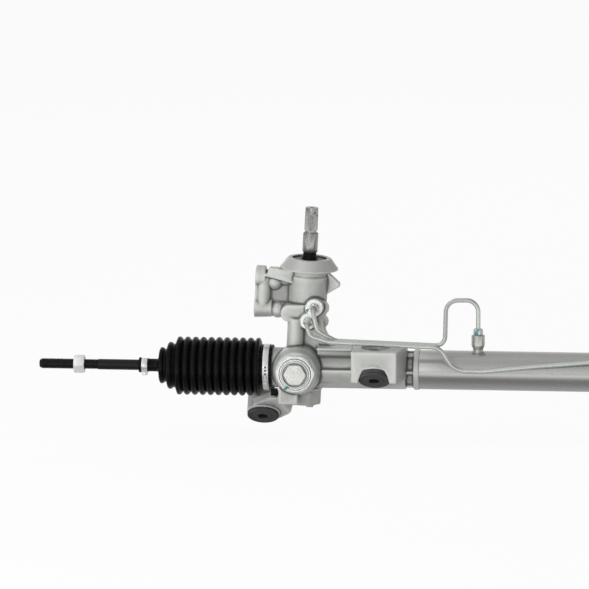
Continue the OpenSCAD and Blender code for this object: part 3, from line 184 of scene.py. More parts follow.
def addWorld():
    world = bpy.data.worlds.new("studio")
    bpy.context.scene.world = world
    world.use_nodes = True
    tree = world.node_tree
    tree.nodes.clear()
    coords = addNode(tree, "ShaderNodeTexCoord")
    split = addNode(tree, "ShaderNodeSeparateXYZ")
    link(tree, coords.outputs["Generated"], split.inputs[0])
    room = levels(tree, spread(tree, split.outputs["Z"], 0, 1, -1, 1), studio["room"])
    sides = levels(tree, spread(tree, split.outputs["X"], 0, 1, -1, 1), studio["sides"])
    sideLift = addNode(tree, "ShaderNodeMath", operation="MULTIPLY")
    link(tree, sides, sideLift.inputs[0])
    sideLift.inputs[1].default_value = studio["sideLift"]
    paths = addNode(tree, "ShaderNodeLightPath")
    light = addNode(tree, "ShaderNodeBackground", in_Strength=studio["worldLight"])
    mirror = addNode(tree, "ShaderNodeBackground")
    link(tree, room, mirror.inputs["Color"])
    link(tree, sideLift.outputs[0], mirror.inputs["Strength"])
    white = addNode(tree, "ShaderNodeBackground", in_Strength=1.0)
    white.inputs["Color"].default_value = (1, 1, 1, 1)
    light.inputs["Color"].default_value = (1, 1, 1, 1)
    first = addNode(tree, "ShaderNodeMixShader")
    second = addNode(tree, "ShaderNodeMixShader")
    out = addNode(tree, "ShaderNodeOutputWorld")
    link(tree, paths.outputs["Is Glossy Ray"], first.inputs[0])
    link(tree, light.outputs[0], first.inputs[1])
    link(tree, mirror.outputs[0], first.inputs[2])
    link(tree, paths.outputs["Is Camera Ray"], second.inputs[0])
    link(tree, first.outputs[0], second.inputs[1])
    link(tree, white.outputs[0], second.inputs[2])
    link(tree, second.outputs[0], out.inputs[0])


def addFloor():
    bpy.ops.object.select_all(action="DESELECT")
    low = cadBox[0][2] - studio["floorGap"]
    bpy.ops.mesh.primitive_plane_add(size=studio["floorSize"], location=(0.5, 0, low))
    floor = bpy.context.object
    floor.name = "floor"
    mat, tree = newMaterial("paleFloor")
    paths = addNode(tree, "ShaderNodeLightPath")
    seen = addNode(tree, "ShaderNodeMath", operation="MAXIMUM")
    matte = addNode(tree, "ShaderNodeBsdfDiffuse")
    matte.inputs["Color"].default_value = (0.86, 0.86, 0.86, 1)
    glow = addNode(tree, "ShaderNodeEmission", in_Strength=1.0)
    share = addNode(tree, "ShaderNodeMath", operation="MULTIPLY")
    share.inputs[1].default_value = 0.93
    mix = addNode(tree, "ShaderNodeMixShader")
    split = addNode(tree, "ShaderNodeSeparateXYZ")
    link(tree, addNode(tree, "ShaderNodeTexCoord").outputs["Object"], split.inputs[0])
    reflected = addNode(tree, "ShaderNodeEmission", in_Strength=studio["floorLift"])
    link(tree, levels(tree, spread(tree, split.outputs["Y"], 0, 1, *studio["floorReach"]), studio["floorSeen"]),
         reflected.inputs["Color"])
    whole = addNode(tree, "ShaderNodeMixShader")
    out = addNode(tree, "ShaderNodeOutputMaterial")
    link(tree, paths.outputs["Is Camera Ray"], seen.inputs[0])
    link(tree, paths.outputs["Is Transmission Ray"], seen.inputs[1])
    link(tree, seen.outputs[0], share.inputs[0])
    link(tree, share.outputs[0], mix.inputs[0])
    link(tree, matte.outputs[0], mix.inputs[1])
    link(tree, glow.outputs[0], mix.inputs[2])
    link(tree, paths.outputs["Is Glossy Ray"], whole.inputs[0])
    link(tree, mix.outputs[0], whole.inputs[1])
    link(tree, reflected.outputs[0], whole.inputs[2])
    link(tree, whole.outputs[0], out.inputs[0])
    floor.data.materials.append(mat)


lamps = [{"name": "topLamp", "at": (0.2, -0.5, 1.9), "size": (2.8, 0.7), "power": 7},
         {"name": "frontLamp", "at": (-0.8, -2.6, 0.4), "size": (1.4, 0.8), "power": 46},
         {"name": "leftLamp", "at": (-2.0, -1.0, 0.8), "size": (0.8, 1.2), "power": 18},
         {"name": "backLamp", "at": (0.9, 2.4, 1.5), "size": (2.4, 0.8), "power": 10}]


def addLamps():
    target = place(100, 0, 0)
    for lamp in lamps:
        data = bpy.data.lights.new(lamp["name"], "AREA")
        data.shape = "RECTANGLE"
        data.size, data.size_y = lamp["size"]
        data.energy = lamp["power"]
        obj = bpy.data.objects.new(lamp["name"], data)
        bpy.context.scene.collection.objects.link(obj)
        at = Vector(lamp["at"])
        obj.location = at
        obj.visible_glossy = False  # metal and rubber mirror the room alone
        obj.rotation_euler = (target - at).to_track_quat("-Z", "Y").to_euler()


addWorld()
addFloor()
addLamps()
print("studio lit")


# Finishes. Patterns are in metres on Object coordinates, and a mesh attribute of the cast pieces places painted shade
# and highlight
def noise(tree, vector, scale, detail=4.0, rough=0.5):
    node = addNode(tree, "ShaderNodeTexNoise", in_Scale=scale, in_Detail=detail, in_Roughness=rough)
    link(tree, vector, node.inputs["Vector"])
    return node.outputs[0]


def blend(tree, share, first, second, kind="MIX"):
    node = addNode(tree, "ShaderNodeMix", data_type="RGBA", blend_type=kind)
    for socket, value in ((node.inputs["Factor"], share), (node.inputs["A"], first), (node.inputs["B"], second)):
        if isinstance(value, bpy.types.NodeSocket):
            link(tree, value, socket)
        elif isinstance(value, (int, float)):
            socket.default_value = value
        else:
            socket.default_value = (*value, 1)
    return node.outputs["Result"]


def stretched(tree, vector, scale):
    node = addNode(tree, "ShaderNodeMapping")
    node.inputs["Scale"].default_value = scale
    link(tree, vector, node.inputs[0])
    return node.outputs[0]


def nearPoint(tree, vector, spot, radius, wobble):
    # 1 inside a daub of the given radius round the spot, with a ragged edge
    offset = addNode(tree, "ShaderNodeVectorMath", operation="DISTANCE")
    link(tree, vector, offset.inputs[0])
    offset.inputs[1].default_value = spot
    ragged = addNode(tree, "ShaderNodeMath", operation="ADD")
    link(tree, offset.outputs["Value"], ragged.inputs[0])
    link(tree, spread(tree, noise(tree, vector, 600), -wobble, wobble), ragged.inputs[1])
    return spread(tree, ragged.outputs[0], 1.0, 0.0, radius * 0.8, radius * 1.1)


def finish(name, colour, metal, rough, mottle=(55, 0.08), fine=(900, 0.05), bump=(1400, 0.3, 0.0004), waves=None,
           stretch=None, roughSpread=0.07, paintedShading=None, edge=None, daubs=(), dust=None, coat=0.0, shine=0.5):
    mat, tree = newMaterial(name)
    coords = addNode(tree, "ShaderNodeTexCoord").outputs["Object"]
    shader = addNode(tree, "ShaderNodeBsdfPrincipled")
    shader.inputs["Coat Weight"].default_value = coat
    shader.inputs["Specular IOR Level"].default_value = shine
    out = addNode(tree, "ShaderNodeOutputMaterial")
    link(tree, shader.outputs[0], out.inputs[0])
    run = stretched(tree, coords, stretch) if stretch else coords
    broad = noise(tree, run, mottle[0])
    small = noise(tree, run, fine[0], 6.0, 0.65)
    dark = [c * (1 - mottle[1]) for c in colour]
    pale = [min(1, c * (1 + mottle[1])) for c in colour]
    tint = blend(tree, spread(tree, broad, 0, 1, 0.3, 0.7), dark, pale)
    tint = blend(tree, spread(tree, small, 0, fine[1] * 6, 0.45, 0.75), tint, [c * 0.55 for c in colour])
    roughness = spread(tree, broad, rough - roughSpread, rough + roughSpread, 0.25, 0.75)
    # painted shade darkens points that lie below the shape round them, and painted highlight brightens points on edges
    if paintedShading or edge:
        shape = addNode(tree, "ShaderNodeAttribute", attribute_name="paintedShading").outputs["Fac"]
        if paintedShading:
            tint = blend(tree, spread(tree, shape, 0, paintedShading["share"], 0.05, paintedShading["reach"]), tint, paintedShading["colour"])
        if edge:
            tint = blend(tree, spread(tree, shape, 0, edge["share"], -0.06, -edge["reach"]), tint, edge["colour"])
    if dust:
        tint = blend(tree, spread(tree, noise(tree, coords, dust["scale"], 6.0, 0.6), 0, dust["share"], 0.5, 0.8), tint,
                     dust["colour"])
    metalness = metal
    for daub in daubs:
        share = nearPoint(tree, coords, place(*daub["at"]), daub["radius"], daub["radius"] * 0.5)
        tint = blend(tree, share, tint, daub["colour"])
        level = spread(tree, share, 0.0, 1.0)
        cover = addNode(tree, "ShaderNodeMath", operation="MULTIPLY_ADD")
        link(tree, level, cover.inputs[0])
        cover.inputs[1].default_value = -metal
        if isinstance(metalness, bpy.types.NodeSocket):
            link(tree, metalness, cover.inputs[2])
        else:
            cover.inputs[2].default_value = metalness
        cover.use_clamp = True
        metalness = cover.outputs[0]
    link(tree, tint, shader.inputs["Base Color"])
    link(tree, roughness, shader.inputs["Roughness"])
    if isinstance(metalness, bpy.types.NodeSocket):
        link(tree, metalness, shader.inputs["Metallic"])
    else:
        shader.inputs["Metallic"].default_value = metalness
    height = noise(tree, run, bump[0], 5.0, 0.6)
    if waves:
        broadHeight = addNode(tree, "ShaderNodeMath", operation="MULTIPLY_ADD")
        link(tree, noise(tree, run, waves[0], 3.0), broadHeight.inputs[0])
        broadHeight.inputs[1].default_value = waves[1]
        link(tree, height, broadHeight.inputs[2])
        height = broadHeight.outputs[0]
    raised = addNode(tree, "ShaderNodeBump", in_Strength=bump[1], in_Distance=bump[2])
    link(tree, height, raised.inputs["Height"])
    link(tree, raised.outputs[0], shader.inputs["Normal"])
    return mat


tealDaub = (0.045, 0.22, 0.215)
finishes = {
    "cast_aluminium": finish("castAluminiumPaintedShading", (0.475, 0.485, 0.46), 0.48, 0.41, mottle=(60, 0.09), fine=(680, 0.06),
                             bump=(2300, 0.45, 0.0003), waves=(300, 1.2), roughSpread=0.05,
                             # painted shade in the hollows and painted highlight on the edges of the castings
                             paintedShading={"share": 0.85, "reach": 0.50, "colour": (0.08, 0.082, 0.078)},
                             edge={"share": 0.42, "reach": 0.30, "colour": (0.72, 0.73, 0.71)}),
    "machined_aluminium": finish("machinedAluminium", (0.72, 0.725, 0.71), 0.85, 0.26, mottle=(90, 0.03),
                                 fine=(2600, 0.01), bump=(3000, 0.08, 0.0001)),
    "zinc_plated_steel": finish("zincPlate", (0.62, 0.635, 0.605), 0.8, 0.30, mottle=(140, 0.03), fine=(2400, 0.01),
                                bump=(2600, 0.06, 0.0001)),
    "drawn_steel_tube": finish("drawnSteel", (0.50, 0.505, 0.485), 0.92, 0.27, mottle=(90, 0.05), fine=(1200, 0.012),
                               stretch=(0.05, 1, 1), bump=(1500, 0.09, 0.0002), roughSpread=0.04),
    "machined_steel": finish("machinedSteel", (0.40, 0.405, 0.395), 0.92, 0.27, mottle=(120, 0.04), fine=(2200, 0.012),
                             bump=(2600, 0.08, 0.0001)),
    "black_rubber": finish("blackRubber", (0.003, 0.003, 0.0034), 0.0, 0.27, mottle=(70, 0.2), fine=(1600, 0.02),
                           bump=(1900, 0.12, 0.0002), roughSpread=0.04, shine=0.13,
                           dust={"scale": 160, "share": 0.03, "colour": (0.06, 0.06, 0.058)}),
    "black_coated_steel": finish("blackCoat", (0.006, 0.006, 0.0065), 0.0, 0.32, mottle=(90, 0.2), fine=(1600, 0.02),
                                 bump=(1800, 0.16, 0.0002), shine=0.25,
                                 dust={"scale": 220, "share": 0.05, "colour": (0.08, 0.08, 0.08)}),
    "pale_nylon": finish("paleNylon", (0.70, 0.67, 0.57), 0.0, 0.45, mottle=(60, 0.05)),
    "dark_nylon": finish("darkNylon", (0.03, 0.03, 0.03), 0.0, 0.4, mottle=(60, 0.1)),
}
for nodeName, obj in nodes.items():
    obj.data.materials.clear()
    obj.data.materials.append(finishes[slotOf[nodeName]])
print("finishes made")


# Modelling steps shared by the pieces
def useOnly(obj=None):
    if bpy.context.mode != "OBJECT":
        bpy.ops.object.mode_set(mode="OBJECT")
    bpy.ops.object.select_all(action="DESELECT")
    if obj:
        obj.select_set(True)
        bpy.context.view_layer.objects.active = obj


def applyModifier(obj, kind, **settings):
    useOnly(obj)
    bpy.ops.object.modifier_add(type=kind)
    modifier = obj.modifiers[-1]
    for key, value in settings.items():
        setattr(modifier, key, value)
    bpy.ops.object.modifier_apply(modifier=modifier.name)


def drawLine(name, points):
    # an open line of edges through the points, drawn by extruding a vertex; it stays in edit mode
    useOnly()
    bpy.ops.mesh.primitive_plane_add(size=0.0001, location=points[0])
    obj = bpy.context.object
    obj.name = name
    bpy.ops.object.mode_set(mode="EDIT")
    bpy.ops.mesh.select_all(action="SELECT")
    bpy.ops.mesh.merge(type="CENTER")
    for before, after in zip(points, points[1:]):
        bpy.ops.mesh.extrude_region_move(TRANSFORM_OT_translate={"value": after - before})
    return obj


def settle(obj, placing=None):
    # the piece goes to its place, and its own frame back to the origin
    useOnly(obj)
    bpy.ops.object.transform_apply(location=True, rotation=True, scale=True)
    if placing is not None:
        obj.matrix_world = placing
        bpy.ops.object.transform_apply(location=True, rotation=True, scale=True)
    return obj


def turned(name, profile, placing, steps=96, closed=True):
    # profile: (radius, height) in millimetres; a closed one is a ring, an open one starts and ends on the axis
    points = [Vector((radius, 0, height)) / 1000 for radius, height in profile]
    if closed:
        points.append(points[0])
    obj = drawLine(name, points)
    bpy.ops.mesh.select_all(action="SELECT")
    bpy.ops.mesh.spin(steps=steps, angle=2 * math.pi, center=(0, 0, 0), axis=(0, 0, 1))
    bpy.ops.mesh.select_all(action="SELECT")
    bpy.ops.mesh.remove_doubles(threshold=0.00001)
    bpy.ops.mesh.normals_make_consistent(inside=False)
    bpy.ops.object.mode_set(mode="OBJECT")
    return settle(obj, placing)


def rounded(profile, radius, points=3):
    # a closed profile whose corners are cut round
    path = []
    count = len(profile)
    for i in range(count):
        before, corner, after = (Vector(profile[(i + k - 1) % count]) for k in range(3))
        inward, outward = before - corner, after - corner
        reach = min(radius, 0.45 * inward.length, 0.45 * outward.length)
        start, end = corner + inward.normalized() * reach, corner + outward.normalized() * reach
        if reach < 0.02 or inward.angle(outward) > 3.0:
            path.append(tuple(corner))
            continue
        for k in range(points + 1):
            t = k / points
            path.append(tuple(start * (1 - t) ** 2 + corner * 2 * t * (1 - t) + end * t * t))
    return path


def cutWith(obj, tool, operation="DIFFERENCE"):
    applyModifier(obj, "BOOLEAN", object=tool, operation=operation, solver="EXACT")
    useOnly(tool)
    bpy.ops.object.delete()
    return obj


def block(name, low, high, placing, cuts=0):
    # a box from corner to corner, millimetres in the placing's frame
    useOnly()
    low, high = Vector(low) / 1000, Vector(high) / 1000
    bpy.ops.mesh.primitive_cube_add(size=1, location=(low + high) / 2)
    obj = bpy.context.object
    obj.name = name
    obj.scale = high - low
    bpy.ops.object.transform_apply(location=True, rotation=True, scale=True)
    if cuts:
        bpy.ops.object.mode_set(mode="EDIT")
        bpy.ops.mesh.select_all(action="SELECT")
        bpy.ops.mesh.subdivide(number_cuts=cuts)
        bpy.ops.object.mode_set(mode="OBJECT")
    obj.matrix_world = placing
    bpy.ops.object.transform_apply(location=True, rotation=True, scale=True)
    return obj


def hexNut(name, flats, height, bore, placing, chamfer=1.2, roundTo=None, bothEnds=True, edge=0.25, spin=0.0):
    # six flats, both ends turned to a cone, a chamfered bore
    useOnly()
    corner = flats / 2 / math.cos(math.radians(30))
    bpy.ops.mesh.primitive_cylinder_add(vertices=6, radius=corner / 1000, depth=height / 1000,
                                        location=(0, 0, height / 2000), rotation=(0, 0, math.radians(30) + spin))
    obj = bpy.context.object
    obj.name = name
    settle(obj)
    outer = roundTo or corner + 0.02
    low = [(0, 0), (outer - chamfer * 1.7, 0), (outer, chamfer)] if bothEnds else [(0, 0), (outer, 0)]
    cone = turned("cone", low + [(outer, height - chamfer), (outer - chamfer * 1.7, height), (0, height)],
                  Matrix.Identity(4), closed=False)
    cutWith(obj, cone, "INTERSECT")
    if bore:
        drill = turned("drill", [(0, -1), (bore + 1.0, -1), (bore + 1.0, -0.01), (bore, 0.9), (bore, height - 0.9),
                                 (bore + 1.0, height + 0.01), (bore + 1.0, height + 1), (0, height + 1)],
                       Matrix.Identity(4), closed=False)
        cutWith(obj, drill)
    if edge:
        applyModifier(obj, "BEVEL", width=edge / 1000, segments=2, limit_method="ANGLE", angle_limit=math.radians(24))
    return settle(obj, placing)


def joined(name, *parts):
    useOnly(parts[0])
    for part in parts[1:]:
        part.select_set(True)
    bpy.ops.object.join()
    obj = bpy.context.object
    obj.name = name
    return obj


def mirrored(obj, name):
    # the piece of the right end, from that of the left end, across the middle of the gear
    twin = bpy.data.objects.new(name, obj.data.copy())
    bpy.context.scene.collection.objects.link(twin)
    middle = place((rightMouth - leftMouth) / 2, 0, 0).x
    useOnly(twin)
    twin.scale = (-1, 1, 1)
    twin.location.x = 2 * middle
    bpy.ops.object.transform_apply(location=True, rotation=True, scale=True)
    bpy.ops.object.mode_set(mode="EDIT")
    bpy.ops.mesh.select_all(action="SELECT")
    bpy.ops.mesh.normals_make_consistent(inside=False)
    bpy.ops.object.mode_set(mode="OBJECT")
    return twin


def fit(obj, body, slotName, *stoodFor, material=None, sharp=32):
    # finish, body and the CAD nodes that the piece stands for
    useOnly(obj)
    bpy.ops.object.shade_smooth_by_angle(angle=math.radians(sharp))
    if material != "keep":
        obj.data.materials.clear()
        obj.data.materials.append(material or finishes[slotName])
    if body:
        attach(obj, body)
    if stoodFor:
        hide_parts(*stoodFor)
    return obj


def copyOfNode(nodeName, name):
    obj = bpy.data.objects.new(name, nodes[nodeName].data.copy())
    bpy.context.scene.collection.objects.link(obj)
    useOnly(obj)
    bpy.ops.object.mode_set(mode="EDIT")
    bpy.ops.mesh.select_all(action="SELECT")
    bpy.ops.mesh.remove_doubles(threshold=0.00002)
    bpy.ops.mesh.normals_make_consistent(inside=False)
    bpy.ops.object.mode_set(mode="OBJECT")
    return obj


# Castings: the frame's shape with the round corners and hollows of a casting
castings = {"voxel": 0.001, "smooth": 4, "share": 0.5, "hollowRounds": 12}


def markShadingDepth(obj):
    # how far each point lies below (plus) or above (minus) the smoothed shape round it, in millimetres, which sets
    # painted shade in hollows and painted highlight on edges
    mesh = obj.data
    count = len(mesh.vertices)
    spots = np.empty(count * 3)
    mesh.vertices.foreach_get("co", spots)
    spots = spots.reshape(-1, 3)
    normals = np.empty(count * 3, dtype=np.float32)
    mesh.vertex_normals.foreach_get("vector", normals)
    ends = np.empty(len(mesh.edges) * 2, dtype=np.int32)
    mesh.edges.foreach_get("vertices", ends)
    ends = ends.reshape(-1, 2)
    links = np.bincount(ends.ravel(), minlength=count)[:, None]
    smooth = spots.copy()
    for _ in range(castings["hollowRounds"]):
        total = np.zeros_like(smooth)
        for axis in range(3):
            total[:, axis] = (np.bincount(ends[:, 0], weights=smooth[ends[:, 1], axis], minlength=count)
                              + np.bincount(ends[:, 1], weights=smooth[ends[:, 0], axis], minlength=count))
        smooth = total / np.maximum(links, 1)
    paintedShading = ((smooth - spots) * normals.reshape(-1, 3)).sum(axis=1) * 1000
    attribute = mesh.attributes.new("paintedShading", "FLOAT", "POINT")
    attribute.data.foreach_set("value", paintedShading.astype(np.float32))


def castPiece(nodeName, name):
    obj = copyOfNode(nodeName, name)
    applyModifier(obj, "REMESH", mode="VOXEL", voxel_size=castings["voxel"])
    applyModifier(obj, "SMOOTH", factor=0.5, iterations=castings["smooth"])
    applyModifier(obj, "DECIMATE", ratio=castings["share"])
    markShadingDepth(obj)
    print(name, len(obj.data.polygons), "faces")
    return fit(obj, "gear", "cast_aluminium", nodeName, sharp=60)


gearCasting = castPiece("gear_housing", "gearCasting")
endCasting = castPiece("end_housing", "endCasting")


# Machined faces on the castings: thin turned rings that sit in them
portFaces = {"places": [(-69.5, -2, 75.7), (-69.5, -2, 116.7)], "rings": (7.0, 13.2), "proud": 0.12}
fittingFaces = {"places": [(12, -33, 84.3, 11.2), (4.7, -33, 65.4, 10.2)], "bore": 5.6, "proud": 0.12}


def machinedRing(name, inner, outer, proud, placing):
    return turned(name, rounded([(inner, -1.2), (inner + 0.02, proud - 0.3), (inner + 0.6, proud),
                                 (outer - 0.25, proud),
                                 (outer, proud - 0.35), (outer, -1.2)], 0.15), placing, steps=72)


def makeFaces():
    inner, outer = portFaces["rings"]
    for i, (x, y, z) in enumerate(portFaces["places"]):
        ring = machinedRing(f"portFace{i + 1}", inner, outer, portFaces["proud"],
                            onPinion(x, y, z) @ Matrix.Rotation(math.radians(-90), 4, "Y"))
        fit(ring, "gear", "machined_aluminium")
    for i, (x, y, z, outer) in enumerate(fittingFaces["places"]):
        ring = machinedRing(f"fittingFace{i + 1}", fittingFaces["bore"], outer, fittingFaces["proud"],
                            onPinion(x, y, z) @ Matrix.Rotation(math.radians(90), 4, "X"))
        fit(ring, "gear", "machined_aluminium", material=faceFinish)


faceFinish = finish("brightFace", (0.86, 0.865, 0.85), 0.6, 0.30, mottle=(120, 0.03), fine=(2600, 0.01),
                    bump=(3000, 0.08, 0.0001),
                    daubs=[{"at": (7.4, -16.4, 80.6), "radius": 0.0021, "colour": tealDaub},
                           {"at": (6.6, -16.4, 79.0), "radius": 0.0017, "colour": tealDaub}])
makeFaces()
print("castings made")


# Valve tower: shield, dust seal and the shaft's machined end
towerTop = 143.0
shield = {"rim": 38.4, "top": 29.4, "hole": 22.9, "height": 15.0, "sheet": 1.5, "lip": 2.2}
dustSeal = {"bore": 10.15, "outer": 18.6, "start": 133.6, "ribs": 3}


def makeTower():
    top = towerTop + 2.5
    bottom = top - shield["height"] + 0.2
    rim, crown, hole, sheet = (shield[key] for key in ("rim", "top", "hole", "sheet"))
    skin = rounded([(hole, top - sheet), (hole, top), (crown - 1.4, top), (crown, top - 1.0), (rim - 0.9, bottom + 2.6),
                    (rim, bottom + shield["lip"]), (rim, bottom), (rim - sheet, bottom), (rim - sheet, bottom + 1.8),
                    (crown - sheet, top - 2.0), (crown - sheet - 0.8, top - sheet), (26.4, top - sheet),
                    (26.4, bottom + 3), (24.75, bottom + 3), (24.75, top - sheet)], 0.7)
    fit(turned("dustShield", skin, pinionFrame, steps=128), "gear", "cast_aluminium", "dust_shield",
        material=shieldFinish)
    seal = [(dustSeal["bore"], dustSeal["start"]), (dustSeal["outer"], dustSeal["start"]), (18.6, 136.4), (16.6, 137.0),
            (16.2, 137.9), (14.9, 138.2), (14.6, 139.2), (13.4, 139.6), (13.2, 143.1), (22.6, 143.1), (22.6, 143.8),
            (13.0, 143.9), (12.0, 144.3), (11.2, 144.4),
            (10.6, 146.0), (9.7, 147.0), (9.6, 148.2), (9.0, 149.0), (9.1, 150.4), (8.5, 152.0), (8.4, 152.5),
            (7.75, 152.5), (7.75, 146.2), (10.15, 145.8)]
    fit(turned("dustSeal", rounded(seal, 0.4, 2), pinionFrame), "gear", "black_rubber", "input_dust_seal", sharp=50)


shieldFinish = finish("matteShield", (0.54, 0.545, 0.53), 0.50, 0.42, mottle=(60, 0.04), fine=(760, 0.04),
                      bump=(2300, 0.3, 0.0002))
makeTower()


# Copies of machined nodes with their edges broken
brokenEdges = [("input_shaft", "inputShaft", "input_shaft", 0.22), ("torsion_bar_pin", "crossPin", "input_shaft", 0.2),
               ("pinion_cap", "pinionCap", "gear", 0.8)]


def breakEdges():
    for nodeName, name, body, width in brokenEdges:
        obj = copyOfNode(nodeName, name)
        useOnly(obj)
        bpy.ops.object.mode_set(mode="EDIT")
        bpy.ops.mesh.select_all(action="SELECT")
        bpy.ops.mesh.dissolve_limited(angle_limit=math.radians(0.8))
        bpy.ops.object.mode_set(mode="OBJECT")
        applyModifier(obj, "BEVEL", width=width / 1000, segments=2, limit_method="ANGLE",
                      angle_limit=math.radians(40), use_clamp_overlap=True)
        fit(obj, body, slotOf[nodeName], nodeName)


breakEdges()
print("tower made")


# Rack guide: lock nut and plug
lockNut = {"flats": 48.0, "round": 25.5, "height": 9.0, "bore": 18.55, "face": 40.1}
plug = {"radius": 18.45, "inner": 32.7, "outer": 52.0, "flats": 26.0, "head": 4.9, "groove": 3.4, "rim": 16.45,
        "pitch": 1.5, "depth": 0.5}


def paintGrooveShade(obj, top, deep, inner, outer):
    # painted shade: the floor of a groove round the guide's axis is darkened, more the deeper it lies below the top
    shade = obj.data.attributes.new("paintedShading", "FLOAT", "POINT")
    axisSpot = guideFrame.translation
    for vert, value in zip(obj.data.vertices, shade.data):
        away = math.hypot(vert.co.x - axisSpot.x, vert.co.z - axisSpot.z) * 1000
        low = top + (vert.co.y - axisSpot.y) * 1000
        value.value = min(1.0, max(0.0, low / deep)) if inner <= away <= outer else 0.0


def makeGuidePieces():
    nutStart = guideFrame @ Matrix.Translation((0, 0, lockNut["face"] / 1000))
    nut = hexNut("nutBody", lockNut["flats"], lockNut["height"], 0, Matrix.Identity(4), chamfer=1.5,
                 roundTo=lockNut["round"], bothEnds=False, edge=0.0)
    face = lockNut["height"]
    collar = turned("nutCollar", [(0, 3), (20.5, 3), (20.5, face + 0.9), (20.1, face + 1.2), (19.0, face + 1.2),
                                  (18.5, face + 0.7), (0, face + 0.7)], Matrix.Identity(4), closed=False)
    cutWith(nut, collar, "UNION")
    step = turned("step", [(20.45, face - 1.5), (21.6, face - 1.5), (21.6, face + 1.5), (20.45, face + 1.5)],
                  Matrix.Identity(4))
    cutWith(nut, step)
    drill = turned("drill", [(0, -1), (lockNut["bore"], -1), (lockNut["bore"], face + 0.6),
                             (lockNut["bore"] + 0.6, face + 1.25), (lockNut["bore"] + 0.6, face + 3), (0, face + 3)],
                   Matrix.Identity(4), closed=False)
    cutWith(nut, drill)
    applyModifier(nut, "BEVEL", width=0.0003, segments=2, limit_method="ANGLE", angle_limit=math.radians(24))
    settle(nut, nutStart)
    nut.name = "lockNut"
    # painted shade in the groove round the collar
    paintGrooveShade(nut, lockNut["face"] + face, 1.5, 20.2, 21.8)
    fit(nut, "gear", "zinc_plated_steel", "rack_guide_lock_nut", material=nutFinish)
    profile = [(0, plug["inner"] + 6), (11.9, plug["inner"] + 6), (11.9, plug["inner"]), (17.6, plug["inner"]),
               (18.0, plug["inner"] + 0.6)]
    at = plug["inner"] + 0.8
    while at < plug["outer"] - 1.8:
        profile += [(plug["radius"] - plug["depth"], at), (plug["radius"], at + plug["pitch"] * 0.42),
                    (plug["radius"], at + plug["pitch"] * 0.56)]
        at += plug["pitch"]
    floor = plug["outer"] - plug["groove"]
    profile += [(plug["radius"] - plug["depth"], at), (plug["radius"] - 0.7, plug["outer"] - 0.2),
                (plug["radius"] - 0.95, plug["outer"]), (plug["rim"] + 0.25, plug["outer"]),
                (plug["rim"], plug["outer"] - 0.25), (plug["rim"], floor + 0.4), (plug["rim"] - 0.4, floor), (0, floor)]
    body = turned("plugBody", profile, guideFrame, closed=False)
    head = hexNut("plugHead", plug["flats"], plug["head"] + 0.1, 0,
                  guideFrame @ Matrix.Translation((0, 0, (floor - 0.1) / 1000)), chamfer=0.9, bothEnds=False, edge=0.35)
    made = joined("guidePlug", body, head)
    # painted shade on the groove floor and the sides of the hex
    paintGrooveShade(made, plug["outer"], plug["groove"], 0, plug["rim"] + 0.3)
    fit(made, "gear", "zinc_plated_steel", "rack_guide_plug", material=plugFinish)


nutFinish = finish("brightZincPaintedShade", (0.80, 0.815, 0.79), 0.6, 0.27, mottle=(150, 0.03), fine=(2400, 0.008),
                   bump=(2600, 0.06, 0.0001),
                   # painted shade in the groove round the collar
                   paintedShading={"share": 0.85, "reach": 0.9, "colour": (0.08, 0.08, 0.078)},
                   daubs=[{"at": (-15.6 - 1.4 * k, -49.6, -16.4 - 1.2 * k), "radius": 0.0023, "colour": tealDaub}
                          for k in range(6)])
plugFinish = finish("plugZincPaintedShade", (0.64, 0.65, 0.625), 0.6, 0.29, mottle=(150, 0.04), fine=(2400, 0.008),
                    # painted shade on the groove floor and the sides of the hex
                    bump=(2600, 0.06, 0.0001), paintedShading={"share": 0.62, "reach": 0.9, "colour": (0.10, 0.10, 0.098)})
makeGuidePieces()
print("guide pieces made")


# Power cylinder: tube, port bosses, pipes and their nuts
tube = {"start": 155.1, "end": 469.9, "outer": 26.0, "inner": 24.0, "dimple": (175.6, -25.7, 3.6)}
portBosses = {"left_port_boss": 232.0, "right_port_boss": 440.0}
pipeNuts = {"flats": 11.0, "height": 8.0, "bore": 3.1}
pipeRadius = 3.0
pipeFittings = [(12, -33, 84.3), (4.7, -33, 65.4)]  # millimetres in the pinion's frame
loopWidth, tubeLie = 42.0, 29.8


def besideTube(x, z):
    return Vector((x, -math.sqrt(tubeLie ** 2 - z ** 2), z))


def rackPoint(spot):
    # from the pinion's frame to millimetres along the rack
    x, y, z = spot
    return Vector((x * math.cos(pinionLean) + z * math.sin(pinionLean), y + 16.8,
                   z * math.cos(pinionLean) - x * math.sin(pinionLean)))


def bentRoute(corners, bends, step=12):
    path = [corners[0]]
    for i in range(1, len(corners) - 1):
        into, out = (corners[i] - corners[i - 1]).normalized(), (corners[i + 1] - corners[i]).normalized()
        turn = into.angle(out)
        if turn < math.radians(2):
            path.append(corners[i])
            continue
        start = corners[i] - into * bends[i] * math.tan(turn / 2)
        side = (out - into * into.dot(out)).normalized()
        centre = start + side * bends[i]
        path += [centre + (into * math.sin(turn * k / step) - side * math.cos(turn * k / step)) * bends[i]
                 for k in range(step + 1)]
    return path + [corners[-1]]


def makePipe(name, corners, bends, stoodFor):
    points = [place(*p) for p in bentRoute(corners, bends)]
    obj = drawLine(name, points)
    bpy.ops.object.mode_set(mode="OBJECT")
    settle(obj)
    useOnly(obj)
    bpy.ops.object.convert(target="CURVE")
    obj.data.bevel_depth = pipeRadius / 1000 - 0.00002
    obj.data.bevel_resolution = 7
    obj.data.use_fill_caps = True
    bpy.ops.object.convert(target="MESH")
    fit(bpy.context.object, "gear", "zinc_plated_steel", stoodFor, material=pipeFinish, sharp=40)


